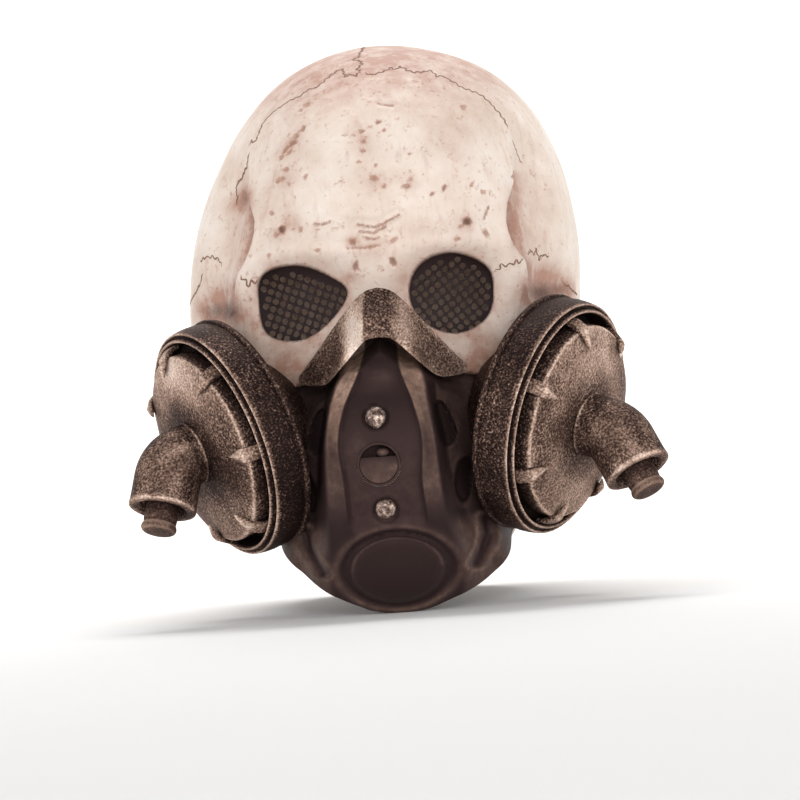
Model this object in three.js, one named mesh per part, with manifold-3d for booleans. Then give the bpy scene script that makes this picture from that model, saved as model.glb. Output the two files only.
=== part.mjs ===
// Full-head latex skull mask with a sculpted respirator and two filter canisters.
// Millimetres, +Z up. The face looks along -Y and +X is the viewer's right.
// The mask stands on its neck rim at Z = 0, with the origin in the middle of its footprint.
import * as THREE from "three";
import { mergeVertices } from "three/addons/utils/BufferGeometryUtils.js";
import Module from "manifold-3d";

const wasm = await Module();
wasm.setup();

// Driving dimensions
const SKULL_WALL = 2.4; // cast latex
const FACE_WALL = 2.6;
const GAP = 0.4; // clear space between neighbouring pieces
const TUCK = 5; // how far the facepiece reaches up behind the bone's edge
const HEAD_COLUMNS = 38;
const HEAD_ROWS = 18;
const FACE_ROWS = 12;
const SEAM_ANGLE = 80; // degrees round from the nose where the facepiece ends

// Finishes: colour, roughness and metalness of each paint
const PAINT = {
  bone: { color: 0xe6d6c6, roughness: 0.55, metalness: 0 },
  rubber: { color: 0x2a211f, roughness: 0.5, metalness: 0 },
  bronze: { color: 0x5a483e, roughness: 0.5, metalness: 0.35 },
  rivet: { color: 0x9c8676, roughness: 0.35, metalness: 0.6 },
  netting: { color: 0x1a1514, roughness: 0.6, metalness: 0 },
};

// Small mathematics
const rad = THREE.MathUtils.degToRad;
const smooth = THREE.MathUtils.smoothstep;
const mix = THREE.MathUtils.lerp;
const vec = (x, y, z) => new THREE.Vector3(x, y, z);
const signedPower = (v, p) => Math.sign(v) * Math.abs(v) ** p;

// Cubic through four neighbouring values, at t between the middle two.
function cubic(a, b, c, d, t) {
  const curve = (2 * a - 5 * b + 4 * c - d) * t + (3 * b - a - 3 * c + d) * t * t;
  return b + 0.5 * t * (c - a + curve);
}

// A row of a table at a fractional row number, every column smoothed along the rows.
function rowAt(rows, place) {
  const last = rows.length - 1;
  const i = Math.min(Math.max(Math.floor(place), 0), last - 1);
  const made = {};
  for (const name of Object.keys(rows[0])) {
    const at = (n) => {
      if (n < 0) return 2 * rows[0][name] - rows[1][name];
      if (n > last) return rows.beyond ? rows.beyond[name] : 2 * rows[last][name] - rows[last - 1][name];
      return rows[n][name];
    };
    made[name] = cubic(at(i - 1), at(i), at(i + 1), at(i + 2), place - i);
  }
  return made;
}

// The fractional row number at which a rising column has a value.
function placeOf(rows, name, value) {
  let low = 0;
  let high = rows.length - 1;
  for (let n = 0; n < 40; n++) {
    const middle = (low + high) / 2;
    if (rowAt(rows, middle)[name] < value) low = middle;
    else high = middle;
  }
  return (low + high) / 2;
}

// The value of a falling-off curve given as [position, value] keys, eased between the keys.
function eased(keys, position) {
  if (position <= keys[0][0]) return keys[0][1];
  for (let n = 1; n < keys.length; n++) {
    const [end, value] = keys[n];
    const [start, before] = keys[n - 1];
    if (position <= end) return mix(before, value, smooth(position, start, end));
  }
  return keys[keys.length - 1][1];
}

// Solids: closed meshes made from grids, joined and cut
function solidOf(geometry) {
  const bare = geometry.index ? geometry.toNonIndexed() : geometry;
  const points = new THREE.BufferGeometry().setAttribute("position", bare.getAttribute("position"));
  const merged = mergeVertices(points, 1e-3);
  const triVerts = [];
  const index = merged.index.array;
  for (let n = 0; n < index.length; n += 3) {
    const [a, b, c] = [index[n], index[n + 1], index[n + 2]];
    if (a !== b && b !== c && a !== c) triVerts.push(a, b, c);
  }
  const build = (order) =>
    new wasm.Manifold(
      new wasm.Mesh({
        numProp: 3,
        vertProperties: merged.attributes.position.array,
        triVerts: new Uint32Array(order),
      }),
    );
  const made = build(triVerts);
  return made.volume() < 0 ? build(triVerts.reverse()) : made;
}

function geometryOf(solid) {
  const mesh = solid.getMesh();
  return new THREE.BufferGeometry()
    .setAttribute("position", new THREE.BufferAttribute(new Float32Array(mesh.vertProperties), 3))
    .setIndex(new THREE.BufferAttribute(new Uint32Array(mesh.triVerts), 1));
}

function movedSolid(geometry, matrix) {
  return solidOf(geometry.clone().applyMatrix4(matrix));
}

// The largest of a cut's bodies, without the crumbs.
function mainBody(solid) {
  return solid.decompose().sort((a, b) => b.volume() - a.volume())[0];
}

// Triangles of the wall between two sheets of points with the same rows and columns.
function wallGeometry(outer, inner, wraps) {
  const corners = [];
  const quad = (a, b, c, d) => corners.push(a, b, c, a, c, d);
  const rows = outer.length;
  const columns = outer[0].length;
  const spans = wraps ? columns : columns - 1;
  for (let i = 0; i < spans; i++) {
    const k = (i + 1) % columns;
    for (let j = 0; j + 1 < rows; j++) {
      quad(outer[j][i], outer[j][k], outer[j + 1][k], outer[j + 1][i]);
      quad(inner[j][i], inner[j + 1][i], inner[j + 1][k], inner[j][k]);
    }
    quad(outer[0][i], inner[0][i], inner[0][k], outer[0][k]);
    quad(outer[rows - 1][i], outer[rows - 1][k], inner[rows - 1][k], inner[rows - 1][i]);
  }
  if (!wraps) {
    for (let j = 0; j + 1 < rows; j++) {
      const end = columns - 1;
      quad(outer[j][0], outer[j + 1][0], inner[j + 1][0], inner[j][0]);
      quad(outer[j][end], inner[j][end], inner[j + 1][end], outer[j + 1][end]);
    }
  }
  return new THREE.BufferGeometry().setFromPoints(corners);
}

// Head form: level sections from the neck rim to the crown
// lean shifts a section sideways, half is its half width, front and back its reach along Y,
// and widest the Y at which it is that wide.
const HEAD_SECTIONS = [
  { z: 0, lean: 0, half: 62, front: -74, back: 100, widest: 34 },
  { z: 28, lean: 0, half: 67, front: -78, back: 102, widest: 32 },
  { z: 56, lean: 0, half: 76, front: -82, back: 108, widest: 30 },
  { z: 84, lean: 0, half: 85.5, front: -86, back: 117, widest: 28 },
  { z: 112, lean: 0, half: 92.5, front: -90, back: 127, widest: 26 },
  { z: 140, lean: 0, half: 96.5, front: -94, back: 134, widest: 25 },
  { z: 165.8, lean: 1.7, half: 96.3, front: -97, back: 136, widest: 25 },
  { z: 189.5, lean: 3.4, half: 92.6, front: -96, back: 132.5, widest: 26 },
  { z: 213, lean: 5.6, half: 85, front: -90, back: 125, widest: 27 },
  { z: 236.8, lean: 7.2, half: 72, front: -77, back: 110, widest: 25 },
  { z: 256.5, lean: 7.2, half: 52.5, front: -54, back: 85, widest: 21 },
  { z: 268.3, lean: 5.5, half: 27, front: -22, back: 48, widest: 15 },
  { z: 272.7, lean: 5, half: 0, front: 12, back: 12, widest: 12 },
];
const SQUARENESS = 2.25; // exponent of each section's superellipse
// One row past the crown, coming down its other side, so that the dome closes round.
HEAD_SECTIONS.beyond = { z: 268.3, lean: 4.5, half: -27, front: 46, back: -24, widest: 9 };
const CROWN = HEAD_SECTIONS.length - 1;

// Bone relief: soft mounds and hollows, mirrored left to right. x, y, z is the middle of each,
// across, along and tall its reach, out its height, and sharp how steep its edge is.
const BONE_RELIEF = [
  { x: 0, y: -97, z: 172, across: 16, along: 40, tall: 11, out: 2.5, sharp: 1 }, // glabella
  { x: 34, y: -90, z: 170, across: 22, along: 40, tall: 8, out: 4, sharp: 1 }, // brow
  { x: 35, y: -88, z: 146, across: 26, along: 60, tall: 21, out: -8, sharp: 2 }, // eye socket
  { x: 62, y: -70, z: 152, across: 9, along: 22, tall: 24, out: 4, sharp: 1 }, // outer socket rim
  { x: 72, y: -48, z: 186, across: 16, along: 19, tall: 34, out: -8, sharp: 2 }, // temple
  { x: 81, y: -40, z: 146, across: 12, along: 22, tall: 16, out: -6, sharp: 1.5 }, // behind the cheekbone
  { x: 50, y: -82, z: 116, across: 20, along: 40, tall: 12, out: 5, sharp: 1 }, // cheekbone
  { x: 30, y: -86, z: 216, across: 24, along: 40, tall: 20, out: 2, sharp: 1 }, // forehead swelling
  { x: 0, y: 136, z: 126, across: 34, along: 40, tall: 14, out: 3, sharp: 1 }, // back of the skull
];

// Lower edge of the bone, [degrees round from the nose, height]: cheek, seam behind the canister, nape.
const BONE_EDGE = [
  [0, 136], [13, 122], [22, 108], [30, 106], [42, 108], [58, 104], [74, 52],
  [88, 45], [112, 40], [134, 20], [155, 0], [180, 0],
];

// Lower edge of the facepiece: distance from the chin's middle and height, flat below the chin, then up the jaw.
const JAW_MIDDLE = 1.8;
const JAW_EDGE = [
  [0, 0], [10, 0], [15, 0.35], [19, 1.6], [23, 4.1], [27, 6.9], [31, 10.8], [35, 15.6], [40, 22.4], [44, 28],
  [48, 32.6], [52, 36.2], [60, 42], [72, 46], [90, 47],
].map(([out, z]) => ({ out, z }));

// A point of the plain head at an angle round from the nose (radians) and a section number,
// with the direction that its relief and its wall thickness go.
function headPoint(angle, place) {
  const s = rowAt(HEAD_SECTIONS, place);
  const forward = Math.cos(angle);
  const reach = forward > 0 ? s.widest - s.front : s.back - s.widest;
  const power = 2 / SQUARENESS;
  const x = s.lean + s.half * signedPower(Math.sin(angle), power);
  return vec(x, s.widest - reach * signedPower(forward, power), s.z);
}

function headSite(angle, place) {
  const point = headPoint(angle, place);
  const step = 0.02;
  const low = Math.max(place - step, 0);
  const high = Math.min(place + step, CROWN);
  const round = headPoint(angle + step, place).sub(headPoint(angle - step, place));
  const up = headPoint(angle, high).sub(headPoint(angle, low));
  const out = round.lengthSq() > 1e-9 ? round.cross(up).normalize() : vec(0, 0, 1);
  out.z *= smooth(point.z, 200, 235); // level below the forehead, square to the dome above it
  out.x *= smooth(degreesRound(angle), 15, 65); // straight ahead on the face, square to the sides
  return { point, out: out.normalize(), lean: rowAt(HEAD_SECTIONS, place).lean };
}

function boneRelief(site) {
  const across = Math.abs(site.point.x - site.lean);
  let out = 0;
  for (const r of BONE_RELIEF) {
    const far =
      ((across - r.x) / r.across) ** 2 +
      ((site.point.y - r.y) / r.along) ** 2 +
      ((site.point.z - r.z) / r.tall) ** 2;
    out += r.out * Math.exp(-(far ** r.sharp));
  }
  return out;
}

const along = (site, out) => site.point.clone().addScaledVector(site.out, out);
const degreesRound = (angle) => THREE.MathUtils.radToDeg(Math.abs(angle));
const boneEdge = (angle) => eased(BONE_EDGE, degreesRound(angle));

// Skull shell: the head form with its bone relief, one wall thick, open at the neck and the eyes
function skullSheet(offset, lower = 0) {
  const crowding = 0.35; // draws the columns towards the face
  const rows = [];
  for (let j = 0; j <= HEAD_ROWS; j++) {
    rows.push([]);
    for (let i = 0; i < HEAD_COLUMNS; i++) {
      const turn = Math.PI * ((2 * i) / HEAD_COLUMNS - 1);
      const angle = turn - crowding * Math.sin(turn);
      const low = placeOf(HEAD_SECTIONS, "z", Math.max(boneEdge(angle) - lower, 0));
      const site = headSite(angle, mix(low, CROWN, j / HEAD_ROWS));
      rows[j].push(along(site, boneRelief(site) + offset));
    }
  }
  return rows;
}

// Eye openings: hand-cut outlines seen from the front, from the outer corner over the brow
const EYE_OUTLINES = {
  left: [
    { x: -53, z: 161 }, { x: -37, z: 164 }, { x: -22, z: 158 }, { x: -14, z: 149.5 },
    { x: -24, z: 136.5 }, { x: -38, z: 129.5 }, { x: -53, z: 133.5 }, { x: -56, z: 147 },
  ],
  right: [
    { x: 51, z: 158 }, { x: 36, z: 164.5 }, { x: 21, z: 160 }, { x: 15, z: 147 },
    { x: 21, z: 133.5 }, { x: 36, z: 127.5 }, { x: 50, z: 134 }, { x: 54, z: 147 },
  ],
};
const EYE_STEPS = 20; // sides of an eye opening

// Points of an eye opening, grown outwards by a margin.
function eyeLoop(side, margin) {
  const curve = new THREE.CatmullRomCurve3(
    EYE_OUTLINES[side].map((p) => vec(p.x, 0, p.z)),
    true,
    "catmullrom",
    0.55,
  );
  const points = curve.getPoints(EYE_STEPS).slice(0, EYE_STEPS);
  const middle = points.reduce((sum, p) => sum.add(p), vec(0, 0, 0)).divideScalar(EYE_STEPS);
  const loop = points.map((p) => {
    const ray = p.clone().sub(middle);
    const grown = middle.clone().addScaledVector(ray, 1 + margin / ray.length());
    return new THREE.Vector2(grown.x, grown.z);
  });
  return THREE.ShapeUtils.isClockWise(loop) ? loop.reverse() : loop;
}

// A shape drawn in front view (x, z), pushed back along +Y from front to back.
function pushedBack(shape, front, back) {
  const geometry = new THREE.ExtrudeGeometry(shape, { depth: back - front, bevelEnabled: false });
  return geometry.applyMatrix4(new THREE.Matrix4().makeRotationX(Math.PI / 2)).translate(0, back, 0);
}

function skullShell() {
  const shell = solidOf(wallGeometry(skullSheet(0), skullSheet(-SKULL_WALL), true));
  const cut = (side) => solidOf(pushedBack(new THREE.Shape(eyeLoop(side, 0)), -125, -45));
  return shell.subtract(cut("left")).subtract(cut("right"));
}

// Eye nets: perforated sheets that follow the inside of the sockets
const NET = { thick: 0.9, behind: 3.6, margin: 3.5, pitch: 6.2, holeRadius: 2.2, edge: 1.2, twist: 11 };

// The site on the head that shows at a place in front view.
function siteSeenAt(x, z) {
  let angle = Math.asin(THREE.MathUtils.clamp(x / 97, -0.95, 0.95));
  let place = placeOf(HEAD_SECTIONS, "z", z);
  const step = 0.01;
  for (let n = 0; n < 6; n++) {
    const seen = (a, p) => {
      const site = headSite(a, p);
      return along(site, boneRelief(site));
    };
    const here = seen(angle, place);
    angle += ((x - here.x) * step) / (seen(angle + step, place).x - here.x);
    place += ((z - here.z) * step) / (seen(angle, place + step).z - here.z);
  }
  return headSite(angle, place);
}

function eyeNet(side) {
  const shape = new THREE.Shape(eyeLoop(side, NET.margin));
  const window = eyeLoop(side, -NET.holeRadius - NET.edge);
  const inside = (x, z) => {
    let odd = false;
    window.forEach((a, n) => {
      const b = window[(n + 1) % window.length];
      if (a.y > z !== b.y > z && x < ((b.x - a.x) * (z - a.y)) / (b.y - a.y) + a.x) odd = !odd;
    });
    return odd;
  };
  const middle = window.reduce((sum, p) => sum.add(p), new THREE.Vector2()).divideScalar(window.length);
  const rowHeight = (NET.pitch * Math.sqrt(3)) / 2;
  for (let row = -4; row <= 4; row++) {
    for (let column = -6; column <= 6; column++) {
      const x = middle.x + (column + (row % 2) / 2) * NET.pitch;
      const z = middle.y + row * rowHeight;
      if (!inside(x, z)) continue;
      const hole = new THREE.Path();
      for (let corner = 0; corner < 6; corner++) {
        const turn = -rad(60 * corner + NET.twist);
        const [hx, hz] = [x + NET.holeRadius * Math.cos(turn), z + NET.holeRadius * Math.sin(turn)];
        if (corner) hole.lineTo(hx, hz);
        else hole.moveTo(hx, hz);
      }
      hole.closePath();
      shape.holes.push(hole);
    }
  }
  const flat = pushedBack(shape, 0, NET.thick);
  const places = flat.getAttribute("position");
  for (let n = 0; n < places.count; n++) {
    const site = siteSeenAt(places.getX(n), places.getZ(n));
    const behind = along(site, boneRelief(site) - SKULL_WALL - NET.behind);
    places.setY(n, behind.y + places.getY(n));
  }
  return solidOf(flat);
}

// Facepiece: respirator relief on the head form, below the bone's edge
// Each row is a level section. From the middle outwards: a flat panel, a ridge beside it, the foot of
// the ridge's flank and the cheek, each with its distance from the middle and its height on the head.
const FACE_SECTIONS = [
  { z: 0, shift: 0, panel: 16, panelOut: 27, ridge: 24, ridgeOut: 25, foot: 36, footOut: 17, cheek: 50, cheekOut: 6 },
  { z: 7, shift: 0, panel: 17, panelOut: 35, ridge: 27, ridgeOut: 32.5, foot: 38, footOut: 21, cheek: 51, cheekOut: 6 },
  { z: 16, shift: 0, panel: 18, panelOut: 40, ridge: 28, ridgeOut: 37.5, foot: 39, footOut: 23, cheek: 52, cheekOut: 6 },
  { z: 30, shift: -0.5, panel: 18, panelOut: 43.5, ridge: 27, ridgeOut: 42, foot: 38, footOut: 25, cheek: 52, cheekOut: 7 },
  { z: 45, shift: -1.6, panel: 18.2, panelOut: 47, ridge: 26, ridgeOut: 44.5, foot: 34.5, footOut: 25, cheek: 51, cheekOut: 8 },
  { z: 62, shift: -2.3, panel: 18, panelOut: 49, ridge: 25.3, ridgeOut: 45.5, foot: 31.5, footOut: 23, cheek: 49, cheekOut: 9 },
  { z: 80, shift: -2.4, panel: 19.2, panelOut: 47.5, ridge: 24.6, ridgeOut: 43.5, foot: 29.5, footOut: 20, cheek: 46, cheekOut: 7 },
  { z: 96, shift: -2, panel: 16, panelOut: 41.5, ridge: 22, ridgeOut: 38, foot: 26.5, footOut: 15, cheek: 44, cheekOut: 4 },
  { z: 112, shift: -0.8, panel: 9.7, panelOut: 31, ridge: 18.5, ridgeOut: 26.5, foot: 25.5, footOut: 8, cheek: 42, cheekOut: 1 },
  { z: 128, shift: 0, panel: 7, panelOut: 19, ridge: 12, ridgeOut: 17, foot: 24, footOut: 2, cheek: 40, cheekOut: -2 },
  { z: 144, shift: 0, panel: 7, panelOut: 8, ridge: 12, ridgeOut: 5, foot: 24, footOut: -2, cheek: 40, cheekOut: -3 },
];

// Oval valve cover on the chin, with a groove round it
const CHIN_CAP = { x: 1, z: 21, halfWidth: 22, halfHeight: 15.5, groove: 2.2, grooveDepth: 1.2, proud: 1.6, seated: 0.3 };

// The height of the facepiece on the head form at a place in front view.
function faceRelief(x, z) {
  const s = rowAt(FACE_SECTIONS, placeOf(FACE_SECTIONS, "z", z));
  const keys = [
    [s.panel, s.panelOut], [s.ridge, s.ridgeOut], [s.foot, s.footOut], [s.cheek, s.cheekOut],
    [s.cheek + 22, 0],
  ];
  const oval = Math.hypot((x - CHIN_CAP.x) / CHIN_CAP.halfWidth, (z - CHIN_CAP.z) / CHIN_CAP.halfHeight);
  const offEdge = (oval - 1) * CHIN_CAP.halfHeight - CHIN_CAP.groove / 2;
  const groove = CHIN_CAP.grooveDepth * Math.exp(-((offEdge / CHIN_CAP.groove) ** 2));
  return eased(keys, Math.abs(x - s.shift)) - groove;
}

// The same, pressed in behind the bone's edge where the bone covers it.
function tuckedRelief(site, angle) {
  const table = faceRelief(site.point.x, site.point.z);
  const nearby = [-6, -3, 0, 3, 6].map((turn) => boneEdge(angle + rad(turn)));
  const below = Math.min(...nearby) - site.point.z;
  const behindBone = boneRelief(site) - SKULL_WALL - 6 * GAP;
  const ramp = mix(4, 1.1, smooth(degreesRound(angle), 10, 24)); // rise for each millimetre below the edge
  return Math.min(table, behindBone + ramp * Math.max(0, below - 2));
}

const angleOfX = (x, half) => Math.asin(THREE.MathUtils.clamp(signedPower(x / half, SQUARENESS / 2), -1, 1));
const xOfAngle = (angle, half) => half * signedPower(Math.sin(angle), 2 / SQUARENESS);

// Columns of the facepiece's grid: fractional places among its named distances, crowded on the flanks.
function faceColumns() {
  const spansBetween = [2, 2, 3, 2, 2, 2]; // columns from the middle to the panel's edge, ridge, foot and so on
  const half = [];
  spansBetween.forEach((count, span) => {
    for (let n = 0; n < count; n++) half.push(span + n / count);
  });
  half.push(spansBetween.length);
  return [...half.slice(1).reverse().map((v) => -v), ...half];
}

// Distance from the middle of one such column at a height.
function columnX(column, z) {
  const s = rowAt(FACE_SECTIONS, placeOf(FACE_SECTIONS, "z", z));
  const half = rowAt(HEAD_SECTIONS, placeOf(HEAD_SECTIONS, "z", z)).half;
  const edge = xOfAngle(rad(SEAM_ANGLE), half);
  const stops = [0, s.panel, s.ridge, s.foot, s.cheek, mix(s.cheek, edge, 0.5), edge];
  const n = Math.min(Math.floor(Math.abs(column)), stops.length - 2);
  const shift = s.shift * (1 - smooth(Math.abs(column), 3, 5));
  return shift + Math.sign(column) * mix(stops[n], stops[n + 1], Math.abs(column) - n);
}

function faceSheet(offset) {
  const rows = [];
  for (let j = 0; j <= FACE_ROWS; j++) {
    rows.push(
      faceColumns().map((column) => {
        const rimX = columnX(column, 30);
        const low = Math.max(0, rowAt(JAW_EDGE, placeOf(JAW_EDGE, "out", Math.abs(rimX - JAW_MIDDLE))).z);
        const halfAtRim = rowAt(HEAD_SECTIONS, placeOf(HEAD_SECTIONS, "z", 100)).half;
        const high = boneEdge(angleOfX(columnX(column, 105), halfAtRim)) + TUCK;
        const z = mix(low, high, j / FACE_ROWS);
        const place = placeOf(HEAD_SECTIONS, "z", z);
        const angle = angleOfX(columnX(column, z), rowAt(HEAD_SECTIONS, place).half);
        const site = headSite(angle, place);
        return along(site, tuckedRelief(site, angle) + offset);
      }),
    );
  }
  return rows;
}

// The facepiece's outer surface at a place in front view.
function faceSpot(x, z, lift = 0) {
  const place = placeOf(HEAD_SECTIONS, "z", z);
  const site = headSite(angleOfX(x, rowAt(HEAD_SECTIONS, place).half), place);
  return along(site, faceRelief(x, z) + lift);
}

const RIVETS = { upper: { x: -3.6, z: 91.5 }, lower: { x: -2, z: 48.5 } };
const RIVET = { headRadius: 4.7, headHeight: 3.2, seatRadius: 5.6, seatDepth: 1.2, shankRadius: 2, shankLength: 5 };
const PORT = { x: -3.6, z: 69.5, radius: 10, depth: 5, floor: 1.5 };

// Turns a lathe's axis (+Y) to look forward out of the mask at a place on the facepiece.
function facingForward(spot, pitch = 0) {
  const turn = new THREE.Matrix4().makeRotationX(Math.PI - rad(pitch));
  return new THREE.Matrix4().makeTranslation(spot.x, spot.y, spot.z).multiply(turn);
}

const lathe = (profile, sides) =>
  new THREE.LatheGeometry(profile.map(([r, h]) => new THREE.Vector2(r, h)), sides);

// The lean of the panel at a height, in degrees, so that what sits on it sits square.
function panelPitch(x, z) {
  const [low, high] = [faceSpot(x, z - 4), faceSpot(x, z + 4)];
  return THREE.MathUtils.radToDeg(Math.atan2(high.y - low.y, high.z - low.z));
}

function facepiece() {
  let made = solidOf(wallGeometry(faceSheet(0), faceSheet(-FACE_WALL), false));
  for (const { x, z } of Object.values(RIVETS)) {
    const at = facingForward(faceSpot(x, z), panelPitch(x, z));
    const { seatRadius, seatDepth, shankRadius } = RIVET;
    const hole = shankRadius + GAP;
    const tool = [[0, -12], [hole, -12], [hole, -seatDepth], [seatRadius, -seatDepth], [seatRadius, 8], [0, 8]];
    made = made.subtract(movedSolid(lathe(tool, 12), at));
  }
  made = made.subtract(chinCap(GAP));
  const bore = PORT.radius + GAP;
  const portTool = lathe([[0, -20], [bore, -20], [bore, 12], [0, 12]], 20);
  return made.subtract(movedSolid(portTool, facingForward(faceSpot(PORT.x, PORT.z), panelPitch(PORT.x, PORT.z))));
}

function rivet({ x, z }) {
  const { headRadius, headHeight, seatDepth, shankRadius, shankLength } = RIVET;
  const under = GAP - seatDepth;
  const profile = [[0, under - shankLength], [shankRadius, under - shankLength], [shankRadius, under], [headRadius, under]];
  for (let n = 1; n <= 4; n++) {
    const turn = rad(22.5 * n);
    profile.push([headRadius * Math.cos(turn), under + headHeight * Math.sin(turn)]);
  }
  profile[profile.length - 1][0] = 0;
  return movedSolid(lathe(profile, 10), facingForward(faceSpot(x, z), panelPitch(x, z)));
}

function portCup() {
  const { x, z, radius, depth, floor } = PORT;
  const lip = radius - 1.2;
  const profile = [
    [0, -depth - floor], [radius, -depth - floor], [radius, -0.4], [lip, -0.4], [lip - 1, -depth], [0, -depth],
  ];
  return movedSolid(lathe(profile, 20), facingForward(faceSpot(x, z), panelPitch(x, z)));
}

// Valve cover: an oval button that follows the chin, domed towards its middle.
// With a margin it is the tool that cuts the cover's seat.
function chinCap(margin = 0) {
  const rings = 3;
  const sides = 18;
  const sheet = (lift, dome) => {
    const rows = [];
    for (let j = 0; j <= rings; j++) {
      rows.push([]);
      for (let i = 0; i < sides; i++) {
        const turn = (2 * Math.PI * i) / sides;
        const share = 1 - j / rings;
        const x = CHIN_CAP.x + (CHIN_CAP.halfWidth + margin) * share * Math.cos(turn);
        const z = CHIN_CAP.z + (CHIN_CAP.halfHeight + margin) * share * Math.sin(turn);
        rows[j].push(faceSpot(x, z, lift + dome * (1 - share ** 2)));
      }
    }
    return rows;
  };
  const top = margin ? 8 : CHIN_CAP.proud;
  return solidOf(wallGeometry(sheet(top, 0.8), sheet(-margin - CHIN_CAP.seated, 0), true));
}

// Nose guard: a saddle plate over the bridge of the nose. Each row is a step from the middle to the end
// of a leg: where its upper and lower edges lie in front view, and how far its crest stands off the head.
const GUARD_ROWS = [
  { x: 0, upper: 150.5, lower: 127.5, crest: 28.5, brow: 15 },
  { x: 5.5, upper: 149.2, lower: 126.6, crest: 28, brow: 14.5 },
  { x: 10.5, upper: 145.5, lower: 122.5, crest: 25, brow: 12.5 },
  { x: 17, upper: 138.5, lower: 115.8, crest: 18.5, brow: 9.5 },
  { x: 25, upper: 129, lower: 108.5, crest: 12.5, brow: 8 },
  { x: 32, upper: 120.5, lower: 107.5, crest: 9.5, brow: 7.5 },
  { x: 39, upper: 112.5, lower: 108.5, crest: 7.5, brow: 7 },
];
const GUARD = { thick: 2.4, columns: 7, rows: 4 };

function guardSheet(offset) {
  const last = GUARD_ROWS.length - 1;
  const rows = [];
  for (let j = 0; j <= GUARD.rows; j++) {
    rows.push([]);
    for (let i = -GUARD.columns; i <= GUARD.columns; i++) {
      const row = rowAt(GUARD_ROWS, (Math.abs(i) / GUARD.columns) * last);
      const up = j / GUARD.rows;
      const z = mix(row.lower, row.upper, up);
      const x = Math.sign(i) * row.x;
      const place = placeOf(HEAD_SECTIONS, "z", z);
      const site = headSite(angleOfX(x, rowAt(HEAD_SECTIONS, place).half), place);
      const stand = mix(row.crest, row.brow, smooth(up, 0.35, 1));
      const clear = Math.max(boneRelief(site), faceRelief(x, z)) + GUARD.thick + 3 * GAP;
      rows[j].push(along(site, Math.max(stand, clear) + offset));
    }
  }
  return rows;
}

const noseGuard = () => solidOf(wallGeometry(guardSheet(0), guardSheet(-GUARD.thick), false));

// Filter canisters: round housings on the cheeks, each with a vented lid, an elbow and a plug
const CANISTER = { left: -83, right: 85.5, y: -85, z: 83, forward: 28.9, down: 16.1, sides: 22 };
const RIM_RADIUS = 55;
const RECESS = { radius: 50.6, depth: 12 };
const LID = { radius: 46, foot: -5, wall: 2.5, edge: 4.2, crown: 9.5, bossRadius: 17, tabs: 7, firstTab: 30, tabWidth: 5 };
const ELBOW = { radius: 14.6, lip: 0.9, lipLength: 6, boreRadius: 11.4, boreDepth: 10 };
const PLUG = { radius: 7.8, proud: 11, seated: 9 };
// The soft pipes droop unalike: the way each mouth looks, as parts outward, forward and down,
// and the pipe's length on each side of its knee.
const DROOP = {
  left: { out: 0.2, forward: 0.36, down: 0.91, straight: 12, spout: 23.6 },
  right: { out: 0.39, forward: 0.36, down: 0.85, straight: 14.5, spout: 22.4 },
};
const SIDES = { left: -1, right: 1 };

// The canister's own frame: +Y out along its axis, +Z up across its face.
function canisterFrame(side) {
  const sign = SIDES[side];
  const [forward, down] = [rad(CANISTER.forward), rad(CANISTER.down)];
  const axis = vec(
    sign * Math.cos(down) * Math.cos(forward),
    -Math.cos(down) * Math.sin(forward),
    -Math.sin(down),
  );
  const across = axis.clone().cross(vec(0, 0, 1)).normalize();
  const up = across.clone().cross(axis);
  return new THREE.Matrix4()
    .makeBasis(across, axis, up)
    .setPosition(CANISTER[side], CANISTER.y, CANISTER.z);
}

// Housing: beaded rim, bulging barrel, back flange and the hollow neck that sits on the cheek
function drum(side, headForms) {
  const profile = [
    [0, -RECESS.depth], [RECESS.radius, -RECESS.depth], [RECESS.radius, -0.8], [51.6, 0], [53, -0.9],
    [54.4, 0], [RIM_RADIUS, -1], [55.6, -9], [55, -17], [56, -18], [55.6, -20], [43, -22.5], [24, -42],
    [21, -42], [41, -20], [52, -17.5], [52, -RECESS.depth - 3], [0, -RECESS.depth - 3],
  ].reverse();
  let made = movedSolid(lathe(profile, CANISTER.sides), canisterFrame(side));
  for (const form of headForms) made = made.subtract(form);
  return mainBody(made);
}

// Lid: a domed puck in the rim's recess, with claws that reach out to the rim
function lid(side) {
  const { radius, edge, crown, bossRadius, wall, foot } = LID;
  const profile = [
    [0, crown - wall], [bossRadius, crown - wall], [radius - 5, edge - wall + 1.2], [radius - wall, edge - wall - 1],
    [radius - wall, foot], [radius - 0.4, foot], [radius, edge], [radius - 6, edge + 2],
    [bossRadius + 12, edge + 4], [bossRadius, crown], [0, crown],
  ];
  let made = solidOf(lathe(profile, CANISTER.sides));
  const outer = RECESS.radius * Math.cos(Math.PI / CANISTER.sides) - GAP; // inside the recess's flat sides
  const claw = new THREE.Shape(
    [
      [radius - 1.5, foot + 1], [outer, foot + 1], [outer, 1], [radius + 1.2, edge + 0.7], [radius - 7, edge + 2.6],
      [radius - 2, edge],
    ].map(([r, h]) => new THREE.Vector2(r, h)),
  );
  const bar = new THREE.ExtrudeGeometry(claw, { depth: LID.tabWidth, bevelEnabled: false });
  bar.translate(0, 0, -LID.tabWidth / 2);
  for (let n = 0; n < LID.tabs; n++) {
    const turn = rad(LID.firstTab + (360 / LID.tabs) * n) * SIDES[side];
    made = made.add(movedSolid(bar, new THREE.Matrix4().makeRotationY(turn)));
  }
  return made.transform(canisterFrame(side).toArray());
}

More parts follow.
